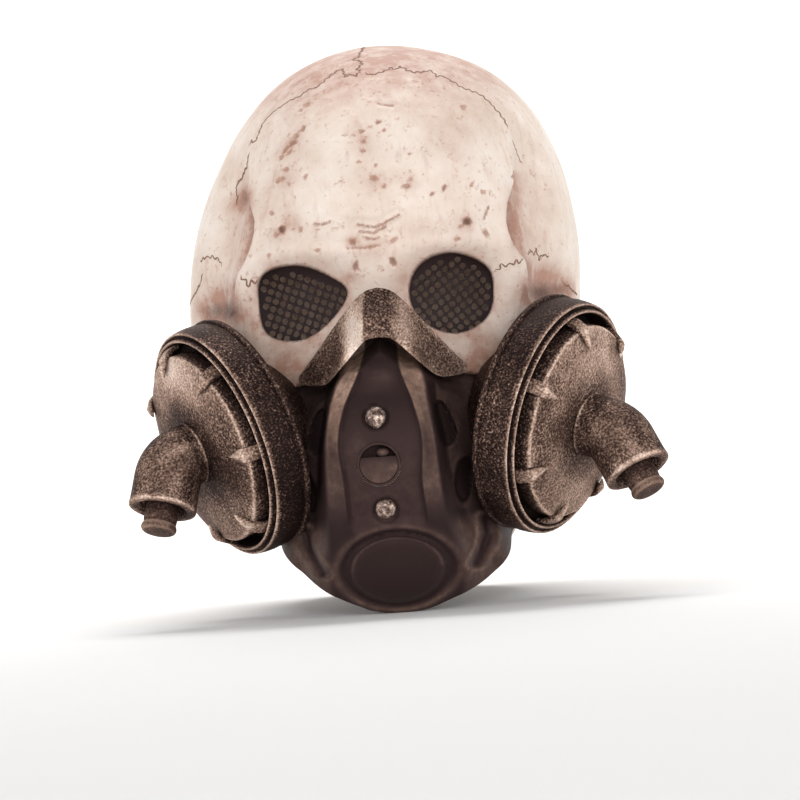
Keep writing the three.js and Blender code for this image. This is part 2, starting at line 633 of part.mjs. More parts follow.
// The elbow's middle line: out along the canister's axis to the knee, then the way its mouth looks.
function elbowLine(side) {
  const frame = canisterFrame(side);
  const start = vec(0, LID.crown + GAP, 0).applyMatrix4(frame);
  const out = vec(0, 1, 0).transformDirection(frame);
  const { out: outward, forward, down, straight, spout } = DROOP[side];
  const mouth = vec(SIDES[side] * outward, -forward, -down).normalize();
  const knee = start.clone().addScaledVector(out, straight);
  const tip = knee.clone().addScaledVector(mouth, spout);
  return { start, out, knee, mouth, tip, straight, spout };
}

// A round solid along a straight line: [distance, radius] from a point.
function turned(point, way, profile, sides) {
  const turn = new THREE.Quaternion().setFromUnitVectors(vec(0, 1, 0), way);
  const place = new THREE.Matrix4().compose(point, turn, vec(1, 1, 1));
  const closed = [[profile[0][0], 0], ...profile, [profile[profile.length - 1][0], 0]];
  return movedSolid(lathe(closed.map(([h, r]) => [r, h]), sides), place);
}

function elbow(side) {
  const { start, out, knee, mouth, tip, straight, spout } = elbowLine(side);
  const { radius, lip, lipLength, boreRadius, boreDepth } = ELBOW;
  const base = turned(start, out, [[0, radius - 0.4], [straight, radius - 0.4]], 12);
  const ball = turned(knee, out, [-60, -30, 0, 30, 65].map((turn) => [
    radius * Math.sin(rad(turn)), radius * Math.cos(rad(turn)),
  ]), 12);
  const pipe = turned(knee, mouth, [
    [0, radius - 0.3], [spout - lipLength, radius - 0.3], [spout - lipLength + 1, radius + lip], [spout, radius + lip],
  ], 12);
  const bore = turned(tip, mouth, [[-boreDepth, boreRadius - 1], [5, boreRadius]], 12);
  return base.add(ball).add(pipe).subtract(bore).trimByPlane(out.toArray(), out.dot(start));
}

function plug(side) {
  const { mouth, tip } = elbowLine(side);
  const { radius, proud, seated } = PLUG;
  return turned(tip, mouth, [
    [-seated - 0.6, radius], [proud - 5, radius], [proud - 4, radius - 0.9], [proud - 3, radius + 0.2],
    [proud - 1, radius + 0.2], [proud, radius - 1],
  ], 10);
}

// Assembly: one named mesh for each piece. The right elbow reaches out further than the left one, so the head
// stands beside the middle of the whole, which is the frame's origin.
const HEAD_MIDDLE = -4.5;
const mask = new THREE.Group();
const head = new THREE.Group();
head.position.x = HEAD_MIDDLE;
mask.add(head);

function addPiece(name, solid, paint) {
  const mesh = new THREE.Mesh(geometryOf(solid), new THREE.MeshStandardMaterial(PAINT[paint]));
  mesh.name = name;
  head.add(mesh);
}

// Thick copies of the skull and the facepiece, a gap proud, which shape the canisters' necks to the cheek.
const formDepth = 46;
const headForms = [
  solidOf(wallGeometry(skullSheet(GAP), skullSheet(-formDepth), true)),
  solidOf(wallGeometry(skullSheet(0, 8), skullSheet(-formDepth, 8), true)),
  solidOf(wallGeometry(faceSheet(GAP), faceSheet(-formDepth), false)),
];

addPiece("skull_shell", skullShell(), "bone");
addPiece("facepiece", facepiece(), "rubber");
addPiece("nose_guard", noseGuard(), "bronze");
addPiece("chin_cap", chinCap(), "rubber");
addPiece("port_cup", portCup(), "rubber");
for (const [name, place] of Object.entries(RIVETS)) addPiece(`rivet_${name}`, rivet(place), "rivet");
for (const side of Object.keys(SIDES)) {
  addPiece(`eye_net_${side}`, eyeNet(side), "netting");
  addPiece(`drum_${side}`, drum(side, headForms), "bronze");
  addPiece(`lid_${side}`, lid(side), "bronze");
  addPiece(`elbow_${side}`, elbow(side), "bronze");
  addPiece(`plug_${side}`, plug(side), "bronze");
}

export default mask;
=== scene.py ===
import math

import bmesh
import bpy
import numpy as np
from mathutils import Matrix, Vector
from mathutils.bvhtree import BVHTree


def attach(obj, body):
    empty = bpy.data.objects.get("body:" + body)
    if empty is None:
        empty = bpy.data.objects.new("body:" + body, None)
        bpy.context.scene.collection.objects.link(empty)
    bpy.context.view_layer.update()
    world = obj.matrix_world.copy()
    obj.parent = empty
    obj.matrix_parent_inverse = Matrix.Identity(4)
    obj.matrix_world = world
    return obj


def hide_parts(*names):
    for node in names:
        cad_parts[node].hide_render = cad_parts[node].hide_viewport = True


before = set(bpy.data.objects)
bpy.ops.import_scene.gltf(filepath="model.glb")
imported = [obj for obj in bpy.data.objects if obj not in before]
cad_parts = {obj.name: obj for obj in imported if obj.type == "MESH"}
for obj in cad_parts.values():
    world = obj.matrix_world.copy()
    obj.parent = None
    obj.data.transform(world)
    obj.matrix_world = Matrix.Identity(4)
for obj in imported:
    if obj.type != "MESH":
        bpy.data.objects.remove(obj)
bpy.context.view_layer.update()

# Studio: a seamless pale sweep under large soft boxes, and a long lens in front of the mask.
# The camera is level and turned a little to the face's left, and rolls as the mask leans in the photograph.
MM = 0.001
# Camera: distance and aim in millimetres, turns in degrees, lens and sensor in millimetres, reach in metres
VIEW = {"distance": 1800, "aim_x": 0.0, "aim_z": 98.1, "yaw": 1.6, "roll": -4.2}
LENS = {"focal": 165.3, "sensor": 36, "reach": 50}
# Sweep in metres: half width, front edge, start, radius and steps of the bend, and the top edge
SWEEP = {"half_width": 5.0, "front": -4.0, "bend": 1.6, "radius": 1.2, "steps": 12, "top": 4.0}
ROOM_LIGHT = 0.3

scene = bpy.context.scene
scene.view_settings.view_transform = "Standard"
yaw = Matrix.Rotation(math.radians(VIEW["yaw"]), 4, "Z")
camera = bpy.data.objects.new("camera", bpy.data.cameras.new("camera"))
camera.data.lens = LENS["focal"]
camera.data.sensor_width = LENS["sensor"]
camera.data.clip_end = LENS["reach"]
stand = yaw @ Vector((VIEW["aim_x"], -VIEW["distance"], VIEW["aim_z"])) * MM
roll = Matrix.Rotation(math.radians(VIEW["roll"]), 4, "Z")
camera.matrix_world = Matrix.Translation(stand) @ yaw @ Matrix.Rotation(math.pi / 2, 4, "X") @ roll
scene.collection.objects.link(camera)
scene.camera = camera


def linear(hex_colour):
    """An sRGB hex colour as linear red, green, blue and alpha."""
    parts = [int(hex_colour[n:n + 2], 16) / 255 for n in (1, 3, 5)]
    return (*(v / 12.92 if v <= 0.04045 else ((v + 0.055) / 1.055) ** 2.4 for v in parts), 1.0)


def add_node(tree, kind, inputs=None, **settings):
    """Add a node with its settings; an input given as a socket is linked, as a value is set."""
    node = tree.nodes.new(kind)
    for name, value in settings.items():
        setattr(node, name, value)
    for name, value in (inputs or {}).items():
        if isinstance(value, bpy.types.NodeSocket):
            tree.links.new(value, node.inputs[name])
        else:
            node.inputs[name].default_value = value
    return node


def add_ramp(tree, value, stops):
    """A colour ramp through stops of position and hex colour."""
    node = add_node(tree, "ShaderNodeValToRGB", {"Fac": value})
    elements = node.color_ramp.elements
    while len(elements) < len(stops):
        elements.new(0.5)
    for element, (position, colour) in zip(elements, stops):
        element.position = position
        element.color = linear(colour)
    return node.outputs["Color"]


def new_finish(name):
    """An empty material and its node tree."""
    finish = bpy.data.materials.new(name)
    finish.use_nodes = True
    finish.node_tree.nodes.clear()
    return finish, finish.node_tree


def add_surface(tree, inputs):
    """End a material with a principled surface of these inputs."""
    shader = add_node(tree, "ShaderNodeBsdfPrincipled", inputs)
    add_node(tree, "ShaderNodeOutputMaterial", {"Surface": shader.outputs["BSDF"]})


# Sweep paper: matt, nearly white.
paper, tree = new_finish("sweep_pale_paper")
add_surface(tree, {"Base Color": linear("#f2f1f0"), "Roughness": 0.9})
profile = [(SWEEP["front"], 0.0), (SWEEP["bend"], 0.0)]
for step in range(1, SWEEP["steps"] + 1):
    turn = math.radians(90 * step / SWEEP["steps"])
    profile.append((SWEEP["bend"] + SWEEP["radius"] * math.sin(turn), SWEEP["radius"] * (1 - math.cos(turn))))
profile.append((profile[-1][0], SWEEP["top"]))
sweep_points = [(x, y, z) for y, z in profile for x in (-SWEEP["half_width"], SWEEP["half_width"])]
sweep_faces = [(2 * n, 2 * n + 1, 2 * n + 3, 2 * n + 2) for n in range(len(profile) - 1)]
sweep_mesh = bpy.data.meshes.new("floor")
sweep_mesh.from_pydata(sweep_points, [], sweep_faces)
sweep_mesh.shade_smooth()
sweep_mesh.materials.append(paper)
floor = bpy.data.objects.new("floor", sweep_mesh)
scene.collection.objects.link(floor)

world = bpy.data.worlds.new("studio")
world.use_nodes = True
world.node_tree.nodes["Background"].inputs["Color"].default_value = linear("#ffffff")
world.node_tree.nodes["Background"].inputs["Strength"].default_value = ROOM_LIGHT
scene.world = world

# Soft boxes: place and aim in metres, edge length in metres, power in watts
SOFT_BOXES = [
    {"name": "left", "at": (-1.85, -1.15, 0.62), "aim": (0, -0.05, 0.13), "size": 1.1, "power": 15},
    {"name": "right", "at": (1.85, -1.15, 0.6), "aim": (0, -0.05, 0.13), "size": 1.1, "power": 14},
    {"name": "front", "at": (0.3, -2.5, 0.6), "aim": (0, -0.05, 0.13), "size": 0.9, "power": 21.5},
    {"name": "wall", "at": (0.0, 0.9, 2.6), "aim": (0, 2.8, 0.9), "size": 2.0, "power": 105},
]
for box in SOFT_BOXES:
    lamp = bpy.data.objects.new(box["name"], bpy.data.lights.new(box["name"], "AREA"))
    lamp.data.size = box["size"]
    lamp.data.energy = box["power"]
    way = Vector(box["aim"]) - Vector(box["at"])
    lamp.matrix_world = Matrix.Translation(box["at"]) @ way.to_track_quat("-Z", "Y").to_matrix().to_4x4()
    scene.collection.objects.link(lamp)

# Skull shell: the mask's head, slush-cast in latex and painted as old bone. One wall runs from the crown
# to the neck rim; the eye holes are cut by hand, and the pits, creases and temples are cast in.
# The head stands beside the middle of the whole, because the right elbow reaches further out
HEAD_MIDDLE = -4.5
SKULL_WALL = 2.4
GAP = 0.4
SQUARENESS = 2.25
FAR_OFF = 1e3
SHARP_EDGE = math.radians(48)
MERGE_WITHIN = 1e-6  # metres
# Level sections: height, sideways lean, half width, reach forwards and back, and the y of the widest place
HEAD_SECTIONS = np.array([
    (0, 0, 62, -74, 100, 34), (28, 0, 67, -78, 102, 32), (56, 0, 76, -82, 108, 30),
    (84, 0, 85.5, -86, 117, 28), (112, 0, 92.5, -90, 127, 26), (140, 0, 96.5, -94, 134, 25),
    (165.8, 1.7, 96.3, -97, 136, 25), (189.5, 3.4, 92.6, -96, 132.5, 26), (213, 5.6, 85, -90, 125, 27),
    (236.8, 7.2, 72, -77, 110, 25), (256.5, 7.2, 52.5, -54, 85, 21), (268.3, 5.5, 27, -22, 48, 15),
    (272.7, 5, 0, 12, 12, 12),
])
PAST_CROWN = np.array([(268.3, 4.5, -27, 46, -24, 9)])  # the dome's other side, so that it closes round
CROWN = len(HEAD_SECTIONS) - 1
# Mounds and hollows, mirrored: middle, reach across, along and up, height, and steepness of the edge
BONE_RELIEF = [
    (0, -97, 172, 16, 40, 11, 2.5, 1),  # glabella
    (34, -90, 170, 22, 40, 8, 4, 1),  # brow
    (35, -88, 146, 26, 60, 21, -8, 2),  # eye socket
    (62, -70, 152, 9, 22, 24, 4, 1),  # outer rim of the socket
    (72, -48, 186, 16, 19, 34, -8, 2),  # temple
    (81, -40, 146, 12, 22, 16, -6, 1.5),  # hollow behind the cheekbone
    (50, -82, 116, 20, 40, 12, 5, 1),  # cheekbone
    (30, -86, 216, 24, 40, 20, 2, 1),  # swelling of the forehead
    (0, 136, 126, 34, 40, 14, 3, 1),  # back of the skull
]
# Lower edge of the bone: degrees round from the nose and height
BONE_EDGE = [
    (0, 136), (13, 122), (22, 108), (30, 106), (42, 108), (58, 104), (74, 52), (88, 45), (112, 40),
    (134, 20), (155, 0), (180, 0),
]
HEAD_GRID = {"columns": 414, "rows": 204, "crowding": 0.6, "inner": 3}


def rows_at(table, place, past=None):
    """Rows of a table at fractional row numbers, smoothed along the rows."""
    after = 2 * table[-1:] - table[-2:-1] if past is None else past
    padded = np.vstack([2 * table[:1] - table[1:2], table, after])
    place = np.asarray(place, float)
    base = np.clip(np.floor(place).astype(int), 0, len(table) - 2)
    t = (place - base)[..., None]
    a, b, c, d = (padded[base + n] for n in range(4))
    return b + 0.5 * t * (c - a + (2 * a - 5 * b + 4 * c - d) * t + (3 * b - a - 3 * c + d) * t * t)


def place_finder(table, past=None, steps=6001):
    """A function from a value of the table's first column to its fractional row number."""
    places = np.linspace(0, len(table) - 1, steps)
    values = np.maximum.accumulate(rows_at(table, places, past)[:, 0])
    return lambda value: np.interp(value, values, places)


def smoothstep(value, start, end):
    t = np.clip((value - start) / (end - start), 0, 1)
    return t * t * (3 - 2 * t)


def bell(value, middle, width):
    """1 at the middle, falling away on both sides."""
    return np.exp(-(((value - middle) / width) ** 2))


def eased(position, keys):
    """The value at a position among keys of position and value, eased between them."""
    value = keys[0][1] + 0 * position
    for (start, before), (end, after) in zip(keys, keys[1:]):
        between = before + (after - before) * smoothstep(position, start, end)
        value = np.where(position > start, between, value)
    return value


def signed_power(value, power):
    return np.sign(value) * np.abs(value) ** power


head_place = place_finder(HEAD_SECTIONS, PAST_CROWN)


def head_point(angle, place):
    """Points of the plain head at angles round from the nose and section numbers, and the sections' lean."""
    height, lean, half, front, back, widest = np.moveaxis(rows_at(HEAD_SECTIONS, place, PAST_CROWN), -1, 0)
    forward = np.cos(angle)
    reach = np.where(forward > 0, widest - front, back - widest)
    x = lean + half * signed_power(np.sin(angle), 2 / SQUARENESS)
    y = widest - reach * signed_power(forward, 2 / SQUARENESS)
    return np.stack([x, y, height], -1), lean


def head_site(angle, place):
    """The plain head's points, the way that relief and walls go there, and the lean."""
    step = 0.02
    point, lean = head_point(angle, place)
    around = head_point(angle + step, place)[0] - head_point(angle - step, place)[0]
    above, below = np.minimum(place + step, CROWN), np.maximum(place - step, 0)
    out = np.cross(around, head_point(angle, above)[0] - head_point(angle, below)[0])
    size = np.linalg.norm(out, axis=-1, keepdims=True)
    out = np.where(size > 1e-9, out / np.maximum(size, 1e-9), (0.0, 0.0, 1.0))
    out[..., 2] *= smoothstep(point[..., 2], 200, 235)
    out[..., 0] *= smoothstep(np.degrees(np.abs(angle)), 15, 65)
    return point, out / np.linalg.norm(out, axis=-1, keepdims=True), lean


def bone_relief(point, lean):
    """Height of the large forms on the plain head."""
    across = np.abs(point[..., 0] - lean)
    total = 0 * across
    for x, y, z, wide, deep, tall, height, sharp in BONE_RELIEF:
        far = ((across - x) / wide) ** 2 + ((point[..., 1] - y) / deep) ** 2
        far = far + ((point[..., 2] - z) / tall) ** 2
        total = total + height * np.exp(-far ** sharp)
    return total


def bone_edge(angle):
    return eased(np.degrees(np.abs(angle)), BONE_EDGE)


# Eye openings: hand-cut outlines seen from the front, from the outer corner over the brow; they are cut only
# in what lies before this y
EYES_BEFORE = -30
EYE_OUTLINES = {
    "left": [
        (-53, 161), (-37, 164), (-22, 158), (-14, 149.5), (-24, 136.5), (-38, 129.5), (-53, 133.5),
        (-56, 147)],
    "right": [
        (51, 158), (36, 164.5), (21, 160), (15, 147), (21, 133.5), (36, 127.5), (50, 134), (54, 147)],
}


def closed_curve(corners, steps=16, tension=0.55):
    """Points of a smooth closed curve through its corners."""
    a = np.array(corners, float)[:, None]
    ta = tension * (np.roll(a, -1, 0) - np.roll(a, 1, 0))
    b, tb = np.roll(a, -1, 0), np.roll(ta, -1, 0)
    t = np.linspace(0, 1, steps, endpoint=False)[None, :, None]
    points = (2 * t**3 - 3 * t**2 + 1) * a + (t**3 - 2 * t**2 + t) * ta
    return (points + (3 * t**2 - 2 * t**3) * b + (t**3 - t**2) * tb).reshape(-1, 2)


def outline_distance(x, z, loop):
    """How far outside a closed outline a place in front view is, along the ray from its middle."""
    middle = loop.mean(0)
    ray = loop - middle
    turns = np.arctan2(ray[:, 1], ray[:, 0])
    order = np.argsort(turns)
    here = np.arctan2(z - middle[1], x - middle[0])
    reach = np.interp(here, turns[order], np.linalg.norm(ray[order], axis=1), period=2 * math.pi)
    return np.hypot(x - middle[0], z - middle[1]) - reach


eye_loops = {side: closed_curve(corners) for side, corners in EYE_OUTLINES.items()}


def eye_distance(x, z):
    return np.min([outline_distance(x, z, loop) for loop in eye_loops.values()], axis=0)


# Pits cast in the bone: place in front view, reach across and up, turn in degrees, depth
PITS = [
    (-42.4, 181.6, 1.7, 2.0, 20, 1.5), (-44.8, 179.4, 1.6, 1.1, 40, 0.7), (-9.1, 172.9, 1.7, 1.6, 0, 1.0),
    (6.2, 228.4, 1.5, 1.1, 0, 0.8), (8.8, 224.2, 1.0, 0.9, 0, 0.5), (-1.7, 224.2, 1.3, 1.1, 0, 0.7),
    (-1.1, 219.6, 1.2, 1.0, 0, 0.7), (-1.5, 215.0, 1.0, 1.0, 0, 0.5), (-3.9, 209.9, 1.2, 0.9, 0, 0.4),
    (2.6, 201.9, 2.0, 1.3, -10, 0.8), (7.1, 197.8, 1.3, 1.1, 0, 0.7), (17.4, 196.9, 1.9, 1.2, 0, 0.8),
    (19.4, 199.9, 1.2, 1.1, 0, 0.6), (3.5, 207.9, 1.0, 1.0, 0, 0.5), (28.8, 192.5, 1.5, 0.8, 35, 0.8),
    (34.7, 195.1, 1.9, 0.9, 60, 1.0), (47.5, 196.0, 1.5, 0.8, 45, 0.6), (52.5, 192.1, 1.3, 1.3, 0, 0.4),
    (44.1, 178.9, 2.0, 1.8, 0, 1.5), (41.5, 176.8, 1.6, 0.9, 30, 0.6), (52.5, 172.5, 2.2, 1.1, -60, 0.9),
    (39.2, 170.7, 1.4, 1.3, 0, 0.8), (-46.6, 189.7, 1.3, 0.9, -40, 0.6),
    (-48.9, 170.1, 1.2, 0.9, 40, 0.5), (-26.0, 170.1, 1.3, 1.0, 10, 0.5),
    (-33.2, 180.7, 1.0, 1.4, 0, 0.5), (46.0, 232.9, 1.5, 1.4, 0, 0.4), (-27.5, 240.4, 1.9, 1.1, 20, 0.5),
    (-30.5, 237.8, 1.0, 0.9, 0, 0.4), (-38.7, 209.7, 1.6, 1.0, 0, 0.6), (-40.7, 205.6, 1.2, 1.0, 0, 0.6),
    (-42.7, 204.7, 1.0, 1.2, 0, 0.6), (-37.5, 202.5, 1.2, 0.9, 0, 0.6), (-29.4, 205.2, 1.0, 1.3, 0, 0.6),
    (19.8, 212.0, 1.0, 0.9, 0, 0.5), (-8.7, 161.3, 1.2, 2.4, -15, 1.0), (8.8, 162.0, 1.4, 2.2, 20, 1.1),
    (-29.5, 228.0, 1.6, 1.2, 45, 0.9), (-32.5, 225.0, 2.0, 1.0, 40, 0.9),
    (-35.0, 221.5, 2.2, 1.2, 35, 1.0), (-38.0, 219.0, 2.0, 0.9, 40, 0.8),
    (-36.5, 217.5, 1.8, 0.8, 45, 0.6), (-40.5, 215.5, 1.6, 0.8, 50, 0.6),
    (-33.0, 221.5, 1.2, 0.8, 30, 0.7), (9.5, 172.0, 2.2, 1.1, 35, 0.5), (69.0, 200.3, 2.6, 1.3, 40, 1.2),
]
# Creases and scratches: depth, half width and the line in front view
CREASES = [
    (0.9, 1.0, [(-6.4, 180.7), (0.8, 178.9), (5.0, 180.0), (12.8, 183.7)]),
    (0.8, 1.0, [(-5.5, 177.6), (0.3, 176.0), (6.2, 178.6)]),
    (0.6, 1.0, [(-4.0, 174.8), (0.0, 173.3), (3.5, 174.0)]),
    (0.4, 1.0, [(-12.0, 170.2), (-4.0, 169.6), (3.0, 170.2)]),
    (0.3, 1.0, [(-27.0, 183.0), (-23.0, 182.0), (-19.0, 183.2)]),
    (0.4, 0.9, [(6.5, 237.6), (9.6, 236.6), (13.5, 236.0)]),
    (0.3, 0.9, [(52.0, 179.5), (53.5, 183.0), (54.5, 185.0)]),
]
# Front edge of each temple hollow, from the cheekbone up: distance out, height, drop behind it
TEMPLE_EDGES = {
    -1: [
        (76, 138, 2.0), (73.5, 142.6, 3.2), (69.1, 146.6, 3.2), (67.4, 149.5, 2.8), (66.8, 154.5, 2.2),
        (65.7, 159.4, 1.6), (63.6, 163.7, 1.2), (61, 167.1, 1.6), (59, 171, 2.0), (57.5, 176, 2.4),
        (56.1, 181.9, 2.8), (55.7, 187, 3.0), (56.9, 192.1, 3.2), (58.2, 196.3, 3.2), (60.9, 201.4, 2.0),
        (62.7, 203.5, 0)],
    1: [
        (74, 137, 2.0), (71.9, 139.9, 3.2), (70.4, 142.7, 3.4), (70.1, 147.6, 3.2), (70.1, 154.5, 2.4),
        (69.4, 159.4, 1.8), (66.9, 161.8, 1.8), (64.4, 166.6, 2.8), (62.9, 172, 3.6), (62.4, 177, 3.8),
        (62.9, 182, 3.8), (63.9, 187.1, 3.4), (65.9, 191.7, 2.8), (68.5, 197, 2.2), (69.5, 200.8, 1.6),
        (72.1, 203.5, 0)],
}


def line_distance(x, z, line):
    """Distance in front view to a line of places."""
    nearest = np.full(np.shape(x), 1e6)
    for (ax, az), (bx, bz) in zip(line, line[1:]):
        along = (x - ax) * (bx - ax) + (z - az) * (bz - az)
        share = np.clip(along / ((bx - ax) ** 2 + (bz - az) ** 2), 0, 1)
        nearest = np.minimum(nearest, np.hypot(x - ax - share * (bx - ax), z - az - share * (bz - az)))
    return nearest


def ripple(x, z, size, seed):
    """A smooth uneven value from -1 to 1 whose lumps are about this size."""
    chance = np.random.default_rng(seed)
    total = 0 * x
    for way, start in chance.uniform(0, 2 * math.pi, (5, 2)):
        total = total + np.sin(2 * math.pi / size * (x * math.cos(way) + z * math.sin(way)) + start)
    return total / 5


def bone_detail(point):
    """Fine cast relief of the bone: height, darkening in its pits and creases, painted shade behind the
    temple edges and stain at pits.
    """
    x = point[..., 0] + 0.55 * ripple(point[..., 0], point[..., 2], 3.4, 1)
    z = point[..., 2] + 0.55 * ripple(point[..., 0], point[..., 2], 3.1, 2)
    front = smoothstep(point[..., 1], -5, -30)
    height = 0.12 * ripple(x, z, 5.2, 3) + 0.22 * ripple(x, z, 15, 4)
    dirt_and_shade, shade, freckled = 0 * x, 0 * x, 0 * x
    for px, pz, across, tall, turn, depth in PITS:
        c, s = math.cos(math.radians(turn)), math.sin(math.radians(turn))
        far = (((x - px) * c + (z - pz) * s) / across) ** 2 + (((z - pz) * c - (x - px) * s) / tall) ** 2
        bowl = np.exp(-far**2)
        rim = bell(np.sqrt(far), 1.45, 0.35)
        height = height + depth * (0.22 * rim - bowl)
        dirt_and_shade = np.maximum(dirt_and_shade, min(0.85, 0.35 * depth**2) * bowl)
        freckled = np.maximum(freckled, 0.75 * np.exp(-far / 2))
    for depth, width, line in CREASES:
        far = line_distance(point[..., 0], point[..., 2], line) / width
        groove = bell(far, 0, 1)
        height = height + depth * (0.5 * bell(far, 2.4, 1.1) - groove)
        dirt_and_shade = np.maximum(dirt_and_shade, 0.25 * groove)
        freckled = np.maximum(freckled, 0.62 * groove)
    for side, edge in TEMPLE_EDGES.items():
        out, level, drop = np.array(edge).T
        past = side * point[..., 0] - np.interp(point[..., 2], level, out)
        drop = np.interp(point[..., 2], level, drop, left=0, right=0)
        fall = smoothstep(past, -0.7, 0.9)
        lip = 0.3 * bell(past, -1.7, 1.5)
        height = height + drop * (lip - fall * np.exp(-np.maximum(past, 0) / 10))
        # Shade behind each temple edge, which is later painted into the bone's colour as painted shade
        shade = np.maximum(shade, drop / 3.4 * fall * np.exp(-np.maximum(past, 0) / 7))
    return height * front, dirt_and_shade * front, shade * front, freckled * front


def wall_sheet(rows, columns):
    """Sites on the skull from its lower edge to the crown: points, the wall's way and the large forms."""
    turn = math.pi * (2 * np.arange(columns) / columns - 1)
    angle = turn - HEAD_GRID["crowding"] * np.sin(turn)
    low = head_place(bone_edge(angle))
    share = np.linspace(0, 1, rows + 1)[:, None]
    place = low + (CROWN - low) * (0.75 * share + 0.25 * share**2)
    point, out, lean = head_site(np.broadcast_to(angle, place.shape), place)
    return point, out, bone_relief(point, lean)


def grid_index(shape):
    """Numbers of a grid's points, row by row."""
    return np.arange(shape[0] * shape[1]).reshape(shape)


def grid_faces(index):
    """Four-cornered faces of a grid of point numbers."""
    return np.stack([index[:-1, :-1], index[:-1, 1:], index[1:, 1:], index[1:, :-1]], -1).reshape(-1, 4)


def turned_over(faces, shift):
    """The same faces turned over, for points that are numbered further on."""
    return [[n + shift for n in reversed(face)] for face in faces]


def clip_grid(outside, wraps):
    """Faces of a grid where a value is positive, cut along its zero line.
    Gives whole and cut faces, and each cut point as two grid points and the share between them."""
    index = grid_index(outside.shape)
    if wraps:
        index = np.hstack([index, index[:, :1]])
    cells = grid_faces(index)
    value = outside.ravel()
    kept = (value[cells] > 0).sum(1)
    faces = cells[kept == 4].tolist()
    cuts = {}
    for cell in cells[(kept > 0) & (kept < 4)]:
        face = []
        for a, b in zip(cell, np.roll(cell, -1)):
            if value[a] > 0:
                face.append(int(a))
            if (value[a] > 0) != (value[b] > 0):
                edge = (int(min(a, b)), int(max(a, b)))
                face.append(cuts.setdefault(edge, outside.size + len(cuts)))
        faces.append(face)
    edges = np.array(list(cuts), int).reshape(-1, 2)
    share = value[edges[:, 0]] / (value[edges[:, 0]] - value[edges[:, 1]])
    return faces, edges, share


def with_cuts(values, edges, share):
    """Grid values with those of the cut points added."""
    share = share.reshape(-1, *([1] * (values.ndim - 1)))
    return np.concatenate([values, values[edges[:, 0]] * (1 - share) + values[edges[:, 1]] * share])


def zip_loops(first, first_turn, second, second_turn):
    """Triangles between two closed loops of points, walked round by their turns."""
    order, other = np.argsort(first_turn), np.argsort(second_turn)
    first, second = [*first[order], first[order[0]]], [*second[other], second[other[0]]]
    first_turn = [*first_turn[order], first_turn[order[0]] + 2 * math.pi]
    second_turn = [*second_turn[other], second_turn[other[0]] + 2 * math.pi]
    faces, i, j = [], 0, 0
    while i < len(first) - 1 or j < len(second) - 1:
        if j == len(second) - 1 or (i < len(first) - 1 and first_turn[i + 1] <= second_turn[j + 1]):
            faces.append((int(first[i]), int(first[i + 1]), int(second[j])))
            i += 1
        else:
            faces.append((int(first[i]), int(second[j + 1]), int(second[j])))
            j += 1
    return faces


def settle(name, mesh, finish, nodes):
    """A finished mesh in its place as a piece that rides on the mask and stands for its solids."""
    mesh.transform(Matrix.Translation((HEAD_MIDDLE * MM, 0, 0)))
    mesh.shade_smooth()
    mesh.set_sharp_from_angle(angle=SHARP_EDGE)
    mesh.materials.clear()
    mesh.materials.append(finish)
    piece = bpy.data.objects.new(name, mesh)
    scene.collection.objects.link(piece)
    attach(piece, "root")
    if nodes:
        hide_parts(*nodes)
    return piece


def mesh_of(name, points, faces, marks=None):
    """A mesh from points in millimetres with marks on them: doubles merged, faces turned out."""
    mesh = bpy.data.meshes.new(name)
    mesh.from_pydata((np.asarray(points) * MM).tolist(), [], faces)
    for mark, values in (marks or {}).items():
        mesh.attributes.new(mark, "FLOAT", "POINT").data.foreach_set("value", np.asarray(values, np.float32))
    work = bmesh.new()
    work.from_mesh(mesh)
    bmesh.ops.delete(work, geom=[v for v in work.verts if not v.link_faces], context="VERTS")
    bmesh.ops.remove_doubles(work, verts=work.verts, dist=MERGE_WITHIN)
    bmesh.ops.recalc_face_normals(work, faces=work.faces)
    work.to_mesh(mesh)
    work.free()
    return mesh


def add_mark(tree, name):
    """The value of a mark that a mesh's points carry."""
    return add_node(tree, "ShaderNodeAttribute", attribute_name=name).outputs["Fac"]


def add_noise(tree, place, size, detail, roughness=0.5):
    """Noise whose lumps are about this size in metres."""
    node = add_node(tree, "ShaderNodeTexNoise", {
        "Vector": place, "Scale": 1 / size, "Detail": detail, "Roughness": roughness})
    return node.outputs["Fac"]


def add_range(tree, value, start, end, low=0.0, high=1.0):
    """A value carried from one range to another and held at its ends."""
    node = add_node(tree, "ShaderNodeMapRange", {
        "Value": value, "From Min": start, "From Max": end, "To Min": low, "To Max": high})
    return node.outputs["Result"]


def add_math(tree, operation, *values, **settings):
    node = add_node(tree, "ShaderNodeMath", dict(enumerate(values)), operation=operation, **settings)
    return node.outputs[0]


# Painted latex bone: cream and satin, with pink-brown washes, freckles and fine streaks, and pink-brown and
# dark brown painted shade in the large hollows, behind the temple edges, behind the cheekbones and along the
# top of the eye holes.
bone, tree = new_finish("bone_painted_latex")
coords = add_node(tree, "ShaderNodeTexCoord").outputs["Object"]
dirt_and_shade_mark, stain_and_shade_mark, pit_mark = (add_mark(tree, name) for name in ("dirt_and_shade", "stain_and_shade", "pit"))
cloud = add_noise(tree, coords, 0.030, 6.0, 0.62)
tone = add_ramp(tree, cloud, [(0.30, "#d8c4b4"), (0.48, "#e6d7ca"), (0.68, "#f0e6dc")])
freckle = add_noise(tree, coords, 0.0035, 4.0, 0.7)
spots = add_range(tree, freckle, 0.58, 0.72, high=0.7)
lengthen = add_node(tree, "ShaderNodeMapping", {"Vector": coords, "Scale": (1.0, 1.0, 0.14)})
fibre = add_noise(tree, lengthen.outputs["Vector"], 0.0042, 4.0, 0.6)
streaks = add_range(tree, fibre, 0.56, 0.74, high=0.28)
wash = add_noise(tree, coords, 0.010, 7.0, 0.68)
washed = add_range(tree, wash, 0.36, 0.66, low=0.4)
